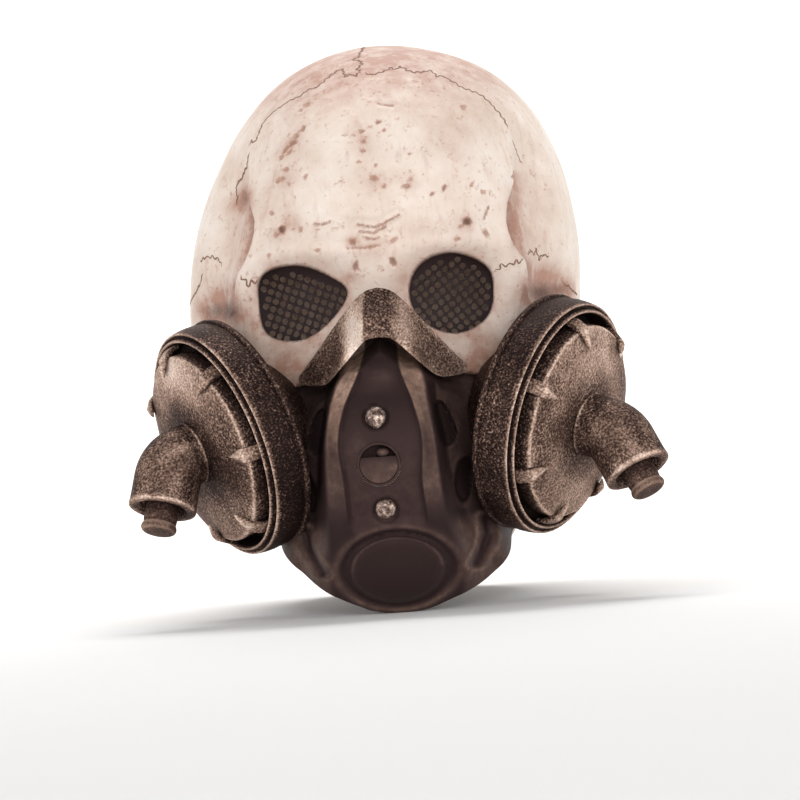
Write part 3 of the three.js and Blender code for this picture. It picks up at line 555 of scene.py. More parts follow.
stain_and_shade_here = add_math(tree, "MULTIPLY", stain_and_shade_mark, washed)
stain_and_shade_sum = add_math(tree, "ADD", stain_and_shade_here, add_math(tree, "ADD", spots, streaks), use_clamp=True)
crumb = add_noise(tree, coords, 0.0016, 3.0, 0.65)
ragged_pit = add_math(tree, "MULTIPLY_ADD", crumb, 0.9, pit_mark)
pit_here = add_range(tree, ragged_pit, 0.74, 1.0, high=0.75)
ragged_dirt_and_shade = add_math(tree, "MULTIPLY_ADD", crumb, 0.5, dirt_and_shade_mark)
dirt_and_shade_here = add_range(tree, ragged_dirt_and_shade, 0.34, 1.2)
for coat, colour in ((stain_and_shade_sum, "#b68c7a"), (pit_here, "#b0836f"), (dirt_and_shade_here, "#513428")):
    coated = add_node(tree, "ShaderNodeMix", {
        "Factor": coat, "A": tone, "B": linear(colour)}, data_type="RGBA")
    tone = coated.outputs["Result"]
bone_bump = add_node(tree, "ShaderNodeBump", {"Height": freckle, "Strength": 0.25, "Distance": 0.0006})
add_surface(tree, {
    "Base Color": tone, "Roughness": add_range(tree, cloud, 0.0, 1.0, 0.44, 0.62),
    "Normal": bone_bump.outputs["Normal"], "IOR": 1.45, "Subsurface Weight": 0.15,
    "Subsurface Radius": (1.0, 0.5, 0.35), "Subsurface Scale": 0.0012})

# Washes of stain: place in front view, reach and strength. The two behind the cheekbones, above the housings,
# are painted shade.
STAINS = [
    (-61, 198, 5, 0.9), (-36, 222, 8, 0.5), (-37, 184, 5, 0.7), (-45, 180, 3.5, 0.8), (40, 219, 9, 0.35),
    (0, 168, 6, 0.6), (-2, 219, 6, 0.5), (-40, 206, 6, 0.5), (3, 200, 5, 0.45), (19, 198, 4, 0.45),
    (-10, 173, 3, 0.6), (-78, 150, 9, 1.0), (79, 147, 9, 1.2), (48, 116, 9, 0.6), (-44, 116, 10, 0.8),
    (44, 178, 4, 0.6), (-58, 140, 5, 0.4), (56, 138, 5, 0.4), (-18, 254, 6, 0.4), (12, 262, 8, 0.4),
    (-12, 156, 4, 0.6), (14, 155, 4, 0.5),
]
# Dark airbrushed patches of painted shade, behind the cheekbones above the housings, along the bone's lower
# edge
# and in the temples: place in front view, reach across and up, strength
SHADE_SMUDGES = [
    (-72, 146, 6, 5, 1.0), (-79, 147, 8, 4, 0.8), (77, 144, 8, 5, 1.0), (85, 145, 7, 4, 0.7),
    (-47, 110, 12, 4, 0.5), (51, 109, 12, 3.5, 0.4), (-67, 121, 5, 9, 0.4), (68, 119, 5, 9, 0.3),
    (-60.5, 199, 3, 5, 0.55), (66, 178, 2.5, 14, 0.3),
]
point, out, relief = wall_sheet(HEAD_GRID["rows"], HEAD_GRID["columns"])
detail, dirt_and_shade, shade, freckled = bone_detail(point)
outer = point + out * (relief + detail)[..., None]
x, y, z = np.moveaxis(outer, -1, 0)
eye_gap = np.where(y < EYES_BEFORE, eye_distance(x, z), FAR_OFF)
faces, edges, share = clip_grid(eye_gap, True)
outer_points = with_cuts(outer.reshape(-1, 3), edges, share)
rim_up = z - z[0]
in_front = y < -10
front_wash = 0.04 + 0.12 * smoothstep(np.abs(x), 75, 45)
eye_wash = 0.5 * np.exp(-np.maximum(eye_gap - 1, 0) / 5)
# Painted shade: pink-brown laid into the deep hollows of the large forms and behind the temple edges
hollow_painted_shade = 0.3 * smoothstep(-relief, 3, 9)
temple_painted_shade = 2.2 * shade
cheek_wash = 0.1 * smoothstep(z, 146, 118) * smoothstep(y, -30, -60)
rim_wash = 0.9 * np.exp(-rim_up / 8) * smoothstep(y, 20, -20)
# Pink stain on the crown, heavier in front, which also stands for the dome's soft shade towards its top
crown_stain_and_shade = smoothstep(z, 225, 260) * (0.2 + 0.75 * smoothstep(y, 30, -25))
stain_and_shade = front_wash + eye_wash + hollow_painted_shade + temple_painted_shade + cheek_wash + rim_wash + crown_stain_and_shade
for sx, sz, reach, strength in STAINS:
    stain_and_shade = stain_and_shade + strength * bell(x, sx, reach) * bell(z, sz, reach) * in_front
ragged = np.maximum(0, rim_up + 0.9 * ripple(x, z, 2.6, 5))
# A dark band round the eye holes: paint on the cut edge, widened along the top as painted shade under the
# brow
lidded = 0.55 + 0.45 * smoothstep(z, 146, 160)
dirt_and_shade = np.maximum(dirt_and_shade, 0.95 * bell(np.maximum(eye_gap, 0), 0, lidded))
dirt_and_shade = np.maximum(dirt_and_shade, 0.95 * bell(ragged, 0, 1.4) * smoothstep(y, 0, -30))
# The smudges are painted shade: they darken the bone and tint it pink-brown
for sx, sz, wide, tall, strength in SHADE_SMUDGES:
    far = ((x - sx) / wide) ** 2 + ((z - sz) / tall) ** 2
    dirt_and_shade = np.maximum(dirt_and_shade, 0.85 * strength * np.exp(-far) * in_front)
    stain_and_shade = stain_and_shade + 1.8 * strength * np.exp(-far / 2) * in_front
# The temples' painted shade also darkens the bone behind their edges
dirt_and_shade = np.clip(np.maximum(dirt_and_shade, 0.45 * shade**1.3), 0, 1)
columns = HEAD_GRID["columns"]
inner_columns = columns // HEAD_GRID["inner"]
point, out, relief = wall_sheet(HEAD_GRID["rows"] // HEAD_GRID["inner"], inner_columns)
inner = point + out * (relief + np.minimum(bone_detail(point)[0], 0) - SKULL_WALL)[..., None]
inner_gap = eye_distance(inner[..., 0], inner[..., 2])
inner_gap = np.where(inner[..., 1] < EYES_BEFORE, inner_gap, FAR_OFF)
inner_faces, inner_edges, inner_share = clip_grid(inner_gap, True)
inner_points = with_cuts(inner.reshape(-1, 3), inner_edges, inner_share)
shift = len(outer_points)
faces += turned_over(inner_faces, shift)
rim_turn = np.arange(columns) / columns * 2 * math.pi
inner_turn = rim_turn[::HEAD_GRID["inner"]]
faces += zip_loops(np.arange(columns), rim_turn, shift + np.arange(inner_columns), inner_turn)
for loop in eye_loops.values():
    middle = loop.mean(0)
    rims = []
    for points, first in ((outer_points, outer.size // 3), (inner_points, inner.size // 3)):
        ids = np.arange(first, len(points))
        ids = ids[np.sign(points[ids, 0]) == np.sign(middle[0])]
        rims += [ids, np.arctan2(points[ids, 2] - middle[1], points[ids, 0] - middle[0])]
    faces += zip_loops(rims[0], rims[1], shift + rims[2], rims[3])
inside_dirt = with_cuts(np.exp(-np.maximum(inner_gap, 0) / 3).ravel(), inner_edges, inner_share)
skull_marks = {
    "dirt_and_shade": np.concatenate([with_cuts(dirt_and_shade.ravel(), edges, share), inside_dirt]),
    "stain_and_shade": np.concatenate([
        with_cuts(np.clip(stain_and_shade, 0, 1.3).ravel(), edges, share), 0.1 + 0 * inside_dirt]),
    "pit": np.concatenate([with_cuts(freckled.ravel(), edges, share), 0 * inside_dirt]),
}
skull_mesh = mesh_of("skull_shell_bone", np.vstack([outer_points, inner_points]), faces, skull_marks)
skull = settle("skull_shell_bone", skull_mesh, bone, ["skull_shell"])

# Sutures: jagged dark seams between the bones, cut into the casting with a point and filled with paint.
# Jag and half width, then places along the seam: degrees round from the nose and height.
SUTURES = [
    (0.9, 0.52, [
        (-7.4, 254.7), (-8.8, 252.3), (-11.2, 254.1), (-13.8, 253), (-16.7, 257.6), (-19.1, 257.1),
        (-23.5, 252.9), (-26.4, 248.5), (-30, 248.7), (-33.8, 245.6), (-39.4, 243.4), (-42.7, 241),
        (-45.6, 239.7), (-48.6, 234.1), (-48.1, 230.9), (-47.6, 227.2), (-48.9, 225.9), (-52.2, 227.4),
        (-51.4, 224.8)]),
    (0.8, 0.75, [
        (-50.8, 221.9), (-50.9, 219.6), (-52.1, 215.9), (-54.4, 213.5), (-55.7, 209.7), (-57.5, 208.1),
        (-57.9, 205.4), (-57.3, 201.1), (-56.4, 196.9)]),
    (1.0, 0.5, [
        (-5.4, 254), (-2.7, 252.9), (0.1, 253.4), (2.3, 254), (5.2, 255.8), (6.8, 254.6), (9.2, 256.5),
        (11.6, 254.1), (14, 252.5), (17.1, 252.6), (20.3, 252.7), (22.8, 253.4), (24.3, 250),
        (27.3, 249.7), (29.4, 247.5), (31.5, 245.5), (33.7, 243.4), (36.2, 242), (38.8, 240.6),
        (41.2, 238.6), (43, 235.6), (44.9, 230), (45.8, 226.5), (46.4, 223)]),
    (0.5, 0.4, [(47.5, 217.8), (51, 213.4), (54.9, 206.2)]),
    (1.0, 0.6, [
        (-7.4, 254.7), (-9, 257.1), (-6.9, 259.5), (-9.3, 261.5), (-13.6, 262.2), (-10.2, 263.5),
        (-10.7, 266.4), (-12, 269.5), (-20, 271.8), (-22, 272.4), (-20, 272.66)]),
    (1.5, 0.55, [(-38.8, 162.2), (-37.5, 159.7), (-36.4, 157.7), (-34.5, 158.7), (-33.2, 159.2)]),
    (1.5, 0.5, [(32.3, 155.3), (34, 157.7), (35.3, 157.2), (36.6, 157.2), (38.5, 158.8), (40.9, 159.4)]),
    (1.2, 0.55, [(-66, 171.5), (-62.1, 173.8), (-59.8, 172.6), (-57.8, 170.5), (-56.4, 168.4)]),
    (0.4, 0.6, [
        (-63.9, 165.8), (-64.5, 163.8), (-66.1, 160.9), (-69.2, 157.6), (-73.4, 154.8), (-79, 152)]),
    (0.9, 0.5, [
        (44.7, 162.6), (49.1, 164.5), (51.9, 162.1), (53.6, 165.2), (55, 159.8), (56.7, 162.4),
        (59.2, 161.5)]),
    (0.4, 0.65, [(66.7, 150.3), (68, 147.8), (70.2, 146.9), (71.8, 145), (77, 143)]),
    (0.9, 0.42, [
        (160, 272.66), (158, 272.4), (162, 271.5), (176, 266), (181, 252), (178, 236), (181, 220),
        (179, 204), (180, 196)]),
    (1.1, 0.45, [(180, 196), (170, 189), (160, 178), (150, 163), (141, 150), (130, 141)]),
    (1.1, 0.45, [(180, 196), (190, 189), (200, 178), (210, 163), (219, 150), (230, 141)]),
]
# Length of a step and of a tooth, height of the paint's edges and depth of its middle
SEAM = {"step": 0.4, "tooth": 1.9, "proud": 0.07, "depth": 0.5}


def bone_skin(angle, place):
    """Points on the finished bone and the way out of it."""
    point, out, lean = head_site(angle, place)
    return point + out * (bone_relief(point, lean) + bone_detail(point)[0])[..., None], out


def seam_strip(route, jag, width, chance):
    """A jagged strip sunk in the bone along a route, with its two edges just above the skin."""
    route = np.array(route, float)
    angle, place = np.radians(route[:, 0]), head_place(route[:, 1])
    steps = np.linalg.norm(np.diff(bone_skin(angle, place)[0], axis=0), axis=1)
    along = np.concatenate([[0], np.cumsum(steps)])
    count = max(8, int(along[-1] / SEAM["step"]))
    at = np.linspace(0, along[-1], count)
    angle, place = np.interp(at, along, angle), np.interp(at, along, place)
    teeth = np.arange(-1, along[-1] / SEAM["tooth"] + 2)
    swing = chance.uniform(0.25, 1, len(teeth)) * np.where(teeth % 2, 1, -1)
    teeth = (teeth + chance.uniform(-0.3, 0.3, len(teeth))) * SEAM["tooth"]
    middle, out = bone_skin(angle, place)
    aside = np.cross(np.gradient(middle, axis=0), out)
    aside = aside / np.linalg.norm(aside, axis=1, keepdims=True)
    aside = aside * (jag * np.interp(at, teeth, swing))[:, None]
    turn, climb = 0.01, 0.02
    around = bone_skin(angle + turn, place)[0] - middle
    upward = bone_skin(angle, place + climb)[0] - middle
    aa, ab, bb, sa, sb = ((u * v).sum(1) for u, v in (
        (around, around), (around, upward), (upward, upward), (aside, around), (aside, upward)))
    angle = angle + turn * (sa * bb - sb * ab) / (aa * bb - ab * ab)
    place = place + climb * (sb * aa - sa * ab) / (aa * bb - ab * ab)
    middle, out = bone_skin(angle, np.minimum(place, CROWN))
    ahead = np.gradient(middle, axis=0)
    ahead = ahead / np.linalg.norm(ahead, axis=1, keepdims=True)
    across = np.cross(ahead, out)
    taper = np.minimum(1, np.minimum(at, along[-1] - at) / 2 + 0.12)
    half = width * chance.uniform(0.5, 1.2, count) * taper
    left = middle - across * half[:, None] + out * SEAM["proud"]
    right = middle + across * half[:, None] + out * SEAM["proud"]
    points = np.stack([left, right, middle - out * SEAM["depth"]], 1).reshape(-1, 3)
    faces = [(0, 1, 2), (3 * count - 3, 3 * count - 1, 3 * count - 2)]
    for n in range(count - 1):
        for a, b in ((0, 1), (1, 2), (2, 0)):
            faces.append((3 * n + a, 3 * n + b, 3 * n + 3 + b, 3 * n + 3 + a))
    return points, faces


def joined(parts):
    """Points and faces of several parts as one."""
    starts = np.cumsum([0] + [len(points) for points, _ in parts])
    faces = [[int(n + start) for n in face] for (_, own), start in zip(parts, starts) for face in own]
    return np.vstack([points for points, _ in parts]), faces


# Seam paint: matt umber.
seam_paint, tree = new_finish("seam_umber_paint")
add_surface(tree, {"Base Color": linear("#866350"), "Roughness": 0.75})
chance = np.random.default_rng(7)
points, faces = joined([seam_strip(route, jag, width, chance) for jag, width, route in SUTURES])
settle("skull_shell_sutures", mesh_of("skull_shell_sutures", points, faces), seam_paint, [])

# Facepiece: the respirator's moulded body, black-brown rubber with its ridges dry-brushed in brown.
# It tucks up behind the bone's edge and runs down to the chin and the jaw rim.
FACE_WALL = 2.6
TUCK = 5  # reach up behind the bone's edge
CHEEK_RUN_OUT = 22  # from the cheek out to where the relief ends
SEAM_ANGLE = math.radians(80)  # reach round from the nose
# Level sections: height, sideways shift, then distance from the middle and height on the head of the panel's
# edge, the ridge beside it, the foot of the ridge's flank and the cheek
FACE_SECTIONS = np.array([
    (0, 0, 16, 27, 24, 25, 36, 17, 50, 6), (7, 0, 17, 35, 27, 32.5, 38, 21, 51, 6),
    (16, 0, 18, 40, 28, 37.5, 39, 23, 52, 6), (30, -0.5, 18, 43.5, 27, 42, 38, 25, 52, 7),
    (45, -1.6, 18.2, 47, 26, 44.5, 34.5, 25, 51, 8), (62, -2.3, 18, 49, 25.3, 45.5, 31.5, 23, 49, 9),
    (80, -2.4, 19.2, 47.5, 24.6, 43.5, 29.5, 20, 46, 7), (96, -2, 16, 41.5, 22, 38, 26.5, 15, 44, 4),
    (112, -0.8, 9.7, 31, 18.5, 26.5, 25.5, 8, 42, 1), (128, 0, 7, 19, 12, 17, 24, 2, 40, -2),
    (144, 0, 7, 8, 12, 5, 24, -2, 40, -3),
])
# Lower rim of the jaw: distance from the chin's middle and height
JAW_MIDDLE = 1.8
JAW_EDGE = np.array([
    (0, 0), (6, 0.12), (10, 0.5), (15, 1.5), (19, 2.9), (23, 4.9), (27, 7.4), (31, 10.9), (35, 15.6),
    (40, 22.4), (44, 28), (48, 32.6), (52, 36.2), (60, 42), (72, 46), (90, 47),
])
CHIN = {"x": 1, "z": 21, "half_width": 22, "half_height": 15.5, "groove": 1.5, "groove_depth": 2.4}
PORT = {"x": -3.6, "z": 69.5, "radius": 10.0, "gap": 0.15, "before": -100}
STUDS = {"upper": (-3.6, 91.5), "lower": (-2, 48.5)}
STUD = {"radius": 4.7, "height": 3.2, "seat": 5.7, "seat_depth": 1.2}
# Slots between the column and the cheek, on the right; the left ones mirror them about the column
SLOTS = [
    [
        (22.6, 94), (25.5, 96.8), (28.5, 93.5), (31, 87.5), (32.4, 81.5), (30, 76.2), (26.6, 75.2),
        (24, 80), (22.4, 87)],
    [
        (32.5, 68.5), (36.5, 69.8), (37.8, 65.5), (36.8, 58.5), (34.4, 51), (31.4, 48.8), (29.4, 54),
        (29.4, 60.5), (30.6, 65)],
]
# Slits in the sides of the jaw
SLITS = [
    [(-37.8, 40.5), (-36.2, 33), (-33.3, 26), (-31, 20.5)],
    [(38.8, 40.5), (38.2, 33), (36, 26.5), (33, 20)],
]
# Soft swellings of the panel: place, reach across and up, height
PANEL_SWELLS = [(0, 112.5, 8, 5, 1.8), (-2.5, 101, 10, 5, -1.6), (-3, 60, 12, 6, -0.5), (0, 122, 6, 4, -1.2)]
# Columns between the section's places, rows, and the heights at which the rims are laid out
FACE_GRID = {"spans": (26, 14, 18, 18, 12, 12), "rows": 170, "jaw": 30.0, "top": 105.0, "cheek": 100.0}
face_place = place_finder(FACE_SECTIONS)
jaw_place = place_finder(JAW_EDGE)


def oval_distance(x, z):
    """Distance outside the chin cover's oval."""
    oval = np.hypot((x - CHIN["x"]) / CHIN["half_width"], (z - CHIN["z"]) / CHIN["half_height"])
    return (oval - 1) * (CHIN["half_width"] + CHIN["half_height"]) / 2


def face_rows(z):
    """The facepiece's section at heights: its shift, then distance and height of its four places."""
    return np.moveaxis(rows_at(FACE_SECTIONS, face_place(z)), -1, 0)[1:]


def face_relief(x, z):
    """Height of the facepiece on the head form at a place in front view."""
    shift, panel, panel_out, ridge, ridge_out, foot, foot_out, cheek, cheek_out = face_rows(z)
    keys = [(panel, panel_out), (ridge, ridge_out), (foot, foot_out), (cheek, cheek_out)]
    keys.append((cheek + CHEEK_RUN_OUT, 0 * cheek))
    groove = CHIN["groove_depth"] * bell(oval_distance(x, z), 1.9, CHIN["groove"])
    return eased(np.abs(x - shift), keys) - groove


def face_detail(x, z):
    """Fine moulded relief of the front: its height and how deep it lies in slots and slits."""
    shift, panel = face_rows(z)[:2]
    inward = panel - np.abs(x - shift)
    column = smoothstep(z, 38, 46) * smoothstep(z, 126, 116)
    height = -2.2 * smoothstep(inward, -0.3, 1.3) * column
    for px, pz, wide, tall, rise in PANEL_SWELLS:
        height = height + rise * bell(x, px, wide) * bell(z, pz, tall)
    for sx, sz in STUDS.values():
        seat = smoothstep(np.hypot(x - sx, z - sz), STUD["seat"] + 0.7, STUD["seat"] - 0.3)
        height = height - STUD["seat_depth"] * seat
    sunk = 0 * x
    for outline in SLOTS:
        loop = closed_curve(outline)
        for mirrored in (x, 2 * shift - x):
            far = outline_distance(mirrored, z, loop)
            height = height + 0.9 * bell(far, 1.1, 0.8) * smoothstep(mirrored, 28, 32)
            sunk = np.maximum(sunk, smoothstep(far, 0.3, -1.4))
    for line in SLITS:
        far = line_distance(x, z, line)
        height = height + 0.8 * bell(far, 3.0, 1.2)
        sunk = np.maximum(sunk, 0.85 * bell(far, 0, 1.3))
    return height - 4.5 * sunk, sunk


def angle_of_x(x, half):
    return np.arcsin(np.clip(signed_power(x / half, SQUARENESS / 2), -1, 1))


def head_half(z):
    return rows_at(HEAD_SECTIONS, head_place(z), PAST_CROWN)[..., 2]


def tucked_relief(point, lean, angle):
    """The facepiece's height, pressed in behind the bone where the bone covers it."""
    lowest = np.min([bone_edge(angle + math.radians(turn)) for turn in (-6, -3, 0, 3, 6)], axis=0)
    below = lowest - point[..., 2]
    behind = bone_relief(point, lean) - SKULL_WALL - 6 * GAP
    ramp = 4 + (1.1 - 4) * smoothstep(np.degrees(np.abs(angle)), 10, 24)
    return np.minimum(face_relief(point[..., 0], point[..., 2]), behind + ramp * np.maximum(0, below - 2))


def column_x(column, z):
    """Place across the face of a grid column at a height."""
    shift, panel, _, ridge, _, foot, _, cheek, _ = face_rows(z)
    edge = head_half(z) * np.sin(SEAM_ANGLE) ** (2 / SQUARENESS)
    stops = np.stack([0 * edge, panel, ridge, foot, cheek, (cheek + edge) / 2, edge], -1)
    span = np.minimum(np.floor(np.abs(column)).astype(int), len(FACE_GRID["spans"]) - 1)
    near = np.take_along_axis(stops, span[..., None], -1)[..., 0]
    far = np.take_along_axis(stops, span[..., None] + 1, -1)[..., 0]
    shift = shift * (1 - smoothstep(np.abs(column), 3, 5))
    return shift + np.sign(column) * (near + (far - near) * (np.abs(column) - span))


def face_spot(x, z, lift=0.0):
    """Points on the facepiece's front at places in front view, without its fine relief."""
    x, z = np.broadcast_arrays(np.asarray(x, float), np.asarray(z, float))
    point, out, _ = head_site(angle_of_x(x, head_half(z)), head_place(z))
    return point + out * (face_relief(x, z) + lift)[..., None]


def grid_border(shape):
    """Numbers of the points round a grid's border."""
    index = grid_index(shape)
    return np.concatenate([index[0], index[1:, -1], index[-1, -2::-1], index[-2:0:-1, 0]])


def wall_faces(loop, shift):
    """Faces between a closed loop of points and its copy that is numbered further on."""
    return [(int(a), int(b), int(b) + shift, int(a) + shift) for a, b in zip(loop, np.roll(loop, -1))]


# Moulded rubber: satin black-brown, with brown dry-brushed where the ridges stand out and black in the slots.
# Its brushing mark also carries painted light: highlights on the panel and the port's tab, a lifted tone on
# the shaded flanks and under the chin, and painted shade on the port's flap.
rubber, tree = new_finish("facepiece_moulded_rubber")
coords = add_node(tree, "ShaderNodeTexCoord").outputs["Object"]
brushed_and_lit_mark = add_mark(tree, "ridge")
brush = add_noise(tree, coords, 0.006, 7.0, 0.72)
worn_and_lit = add_math(tree, "MULTIPLY", brushed_and_lit_mark, add_range(tree, brush, 0.25, 0.72, low=0.35))
rubber_tone = add_ramp(tree, worn_and_lit, [
    (0.0, "#2a1f1f"), (0.12, "#352828"), (0.3, "#4e3d38"), (0.6, "#7e6558"), (0.9, "#b09382")])
grit = add_noise(tree, coords, 0.0010, 2.0)
rubber_bump = add_node(tree, "ShaderNodeBump", {"Height": grit, "Strength": 0.2, "Distance": 0.0004})
add_surface(tree, {
    "Base Color": rubber_tone, "Roughness": 0.52, "Specular IOR Level": 0.16,
    "Specular Tint": linear("#ffd8cc"), "Normal": rubber_bump.outputs["Normal"]})

half_columns = [n + np.arange(count) / count for n, count in enumerate(FACE_GRID["spans"])]
half_columns = np.concatenate([*half_columns, [len(FACE_GRID["spans"])]])
face_columns = np.concatenate([-half_columns[:0:-1], half_columns])
rim_x = column_x(face_columns, FACE_GRID["jaw"] + 0 * face_columns)
rim_low = np.maximum(0, rows_at(JAW_EDGE, jaw_place(np.abs(rim_x - JAW_MIDDLE)))[..., 1])
top_x = column_x(face_columns, FACE_GRID["top"] + 0 * face_columns)
rim_high = bone_edge(angle_of_x(top_x, head_half(FACE_GRID["cheek"]))) + TUCK
z_grid = rim_low + (rim_high - rim_low) * np.linspace(0, 1, FACE_GRID["rows"] + 1)[:, None]
x_grid = column_x(np.broadcast_to(face_columns, z_grid.shape), z_grid)
angle_grid = angle_of_x(x_grid, head_half(z_grid))
face_point, face_out, face_lean = head_site(angle_grid, head_place(z_grid))
face_height = tucked_relief(face_point, face_lean, angle_grid)
face_fine, face_sunk = face_detail(x_grid, z_grid)
face_fine = face_fine * smoothstep(face_height - bone_relief(face_point, face_lean), -4.0, 0.0)
face_front = face_point + face_out * (face_height + face_fine)[..., None]
face_back = face_point + face_out * (face_height + np.minimum(face_fine, 0) - FACE_WALL)[..., None]

shift_here, panel_here, _, ridge_here = face_rows(z_grid)[:4]
off_middle = np.abs(x_grid - shift_here)
band = smoothstep(off_middle - panel_here, -0.6, 0.5) * smoothstep(off_middle - ridge_here, 2.2, -0.5)
# Painted light: the right band is painted dimmer than the left one above and brighter low down
lit = np.where(x_grid < shift_here, 1.0, 0.82 + 0.3 * smoothstep(z_grid, 85, 60))
band = band * lit * (0.42 + 0.58 * smoothstep(z_grid, 72, 108)) * smoothstep(z_grid, 40, 60)
jaw_side = np.where(x_grid > 0, 0.42, 0.46) * smoothstep(off_middle, 26, 31) * smoothstep(off_middle, 52, 40)
jaw_side = jaw_side * smoothstep(z_grid, 48, 38)
panel_tone_and_highlights = (0.05 + 0.15 * smoothstep(z_grid, 88, 70)) * smoothstep(panel_here - off_middle, 0.5, 3)
# Painted highlights: a patch to the left of the port and one on the upper swelling
panel_tone_and_highlights = panel_tone_and_highlights + 0.16 * bell(x_grid, -13, 5) * bell(z_grid, 79, 9)
panel_tone_and_highlights = panel_tone_and_highlights + 0.22 * bell(x_grid, 0, 7) * bell(z_grid, 110, 4.5)
# Painted light: the flanks between the column and the housings lie in deep shade, and their tone is lifted,
# more on the right
flank_painted_light = np.where(x_grid > shift_here, 0.36, 0.22) * smoothstep(off_middle - ridge_here, 1, 6)
flank_painted_light = flank_painted_light * smoothstep(z_grid, 40, 52)
slot_rim = 0.4 * bell(face_sunk, 0.12, 0.1) * smoothstep(off_middle, 28, 31)
slit_rims = [
    strength * bell(line_distance(x_grid, z_grid, line), 3.2, 1.5)
    for strength, line in zip((0.5, 0.6), SLITS)]
off_chin = oval_distance(x_grid, z_grid)
# The lip round the chin cover is brushed lighter, and lighter still along its bottom, where painted light
# lifts the shade
chin_rim_and_fill_light = (0.4 + 0.25 * smoothstep(z_grid, 12, 4)) * bell(off_chin, 5.0, 2.0)
# Dry-brushing and painted light in one mark
rubber_wear_and_light = np.maximum.reduce([band, jaw_side, panel_tone_and_highlights, flank_painted_light, slot_rim, chin_rim_and_fill_light, *slit_rims])
rubber_wear_and_light = rubber_wear_and_light * (1 - face_sunk)
rubber_wear_and_light = rubber_wear_and_light * (1 - 0.8 * bell(off_chin, 1.9, 1.6))
port_gap = np.hypot(face_front[..., 0] - PORT["x"], face_front[..., 2] - PORT["z"])
port_gap = port_gap - PORT["radius"] - PORT["gap"]
port_gap = np.where(face_front[..., 1] < PORT["before"], port_gap, FAR_OFF)
faces, edges, share = clip_grid(port_gap, False)
front_points = with_cuts(face_front.reshape(-1, 3), edges, share)
back_points = with_cuts(face_back.reshape(-1, 3), edges, share)
wear_and_light_points = with_cuts(rubber_wear_and_light.ravel(), edges, share)
shift = len(front_points)
hole = np.arange(z_grid.size, shift)
hole = hole[np.argsort(np.arctan2(front_points[hole, 2] - PORT["z"], front_points[hole, 0] - PORT["x"]))]
faces += turned_over(faces, shift) + wall_faces(grid_border(z_grid.shape), shift) + wall_faces(hole, shift)
face_mesh = mesh_of("facepiece_body", np.vstack([front_points, back_points]), faces,
                    {"ridge": np.concatenate([wear_and_light_points, 0 * wear_and_light_points])})
facepiece = settle("facepiece_body", face_mesh, rubber, ["facepiece"])


def lathe(profile, sides):
    """Points and faces of a profile of radius and height turned about +Y; ends on the axis close."""
    turn = 2 * math.pi * np.arange(sides) / sides
    radius, height = (np.array([row[n] for row in profile])[:, None] for n in (0, 1))
    points = np.stack([radius * np.cos(turn), height + 0 * turn, radius * np.sin(turn)], -1)
    return points.reshape(-1, 3), tube_faces(len(profile), sides)


def tube_faces(rings, sides):
    """Faces between rings of points, each ring closed."""
    index = grid_index((rings, sides))
    after = np.roll(index, -1, 1)
    return np.stack([index[:-1], after[:-1], after[1:], index[1:]], -1).reshape(-1, 4).tolist()


def profile_wear_and_light(profile, sides):
    """Wear and painted light of the points of a turned profile whose rows end with it."""
    return np.repeat([row[-1] for row in profile], sides)


def moved(points, matrix):
    return points @ np.array(matrix.to_3x3()).T + np.array(matrix.translation)


def facing_forward(x, z, sunk=0.0):
    """A frame on the panel whose +Y looks square out of it."""
    low, high = face_spot(x, z - 4.0), face_spot(x, z + 4.0)
    pitch = math.atan2(high[1] - low[1], high[2] - low[2])
    turned = Matrix.Rotation(math.pi - pitch, 4, "X")
    return Matrix.Translation(face_spot(x, z)) @ turned @ Matrix.Translation((0, -sunk, 0))


# Port: the round recess in the middle of the panel, a cup with a rolled lip, moulded in the same rubber.
# A half-open flap and its small hinge tab are cast into it. The flap is painted darker towards its upper edge
# as painted shade, and the tab's dome carries a painted highlight.
PORT_SIDES = 64
PORT_SUNK = 1.9
# Cup and tab: radius, height along the axis and wear; on the tab it rises to a painted highlight at the
# dome's tip
PORT_PROFILE = [
    (0, -6.5, 0), (10, -6.5, 0), (10, -0.5, 0.1), (9.8, 0.1, 0.3), (9.3, 0.3, 0.3), (8.9, 0.0, 0.2),
    (8.7, -1.0, 0), (8.5, -4.8, 0), (8.1, -5, 0), (0, -5, 0.05),
]
TAB_PROFILE = [(0, -2, 0), (3.1, -2, 0), (3.2, 0, 0.1), (2.7, 1.0, 0.2), (1.7, 1.6, 0.4), (0, 1.8, 0.7)]
TAB = {"sides": 32, "squash": (1, 1, 0.7), "at": (2.2, -2.6, -5.2)}
FLAP = {"radius": 8.6, "chord": 3.2, "front": -0.9, "back": -2.4, "tilt": 0.05, "points": 49}
chord_turn = math.asin(FLAP["chord"] / FLAP["radius"])
turn = np.linspace(math.pi - chord_turn, 2 * math.pi + chord_turn, FLAP["points"])
flap_x, flap_up = FLAP["radius"] * np.cos(turn), -FLAP["radius"] * np.sin(turn)
flap_points = np.vstack([
    np.stack([flap_x, FLAP[face] + FLAP["tilt"] * flap_up, flap_up], -1) for face in ("front", "back")])
count = FLAP["points"]
flap_faces = [list(range(count)), list(range(2 * count - 1, count - 1, -1)), *wall_faces(range(count), count)]
tab_points, tab_faces = lathe(TAB_PROFILE, TAB["sides"])
tab = (tab_points * TAB["squash"] + TAB["at"], tab_faces)
points, faces = joined([lathe(PORT_PROFILE, PORT_SIDES), (flap_points, flap_faces), tab])
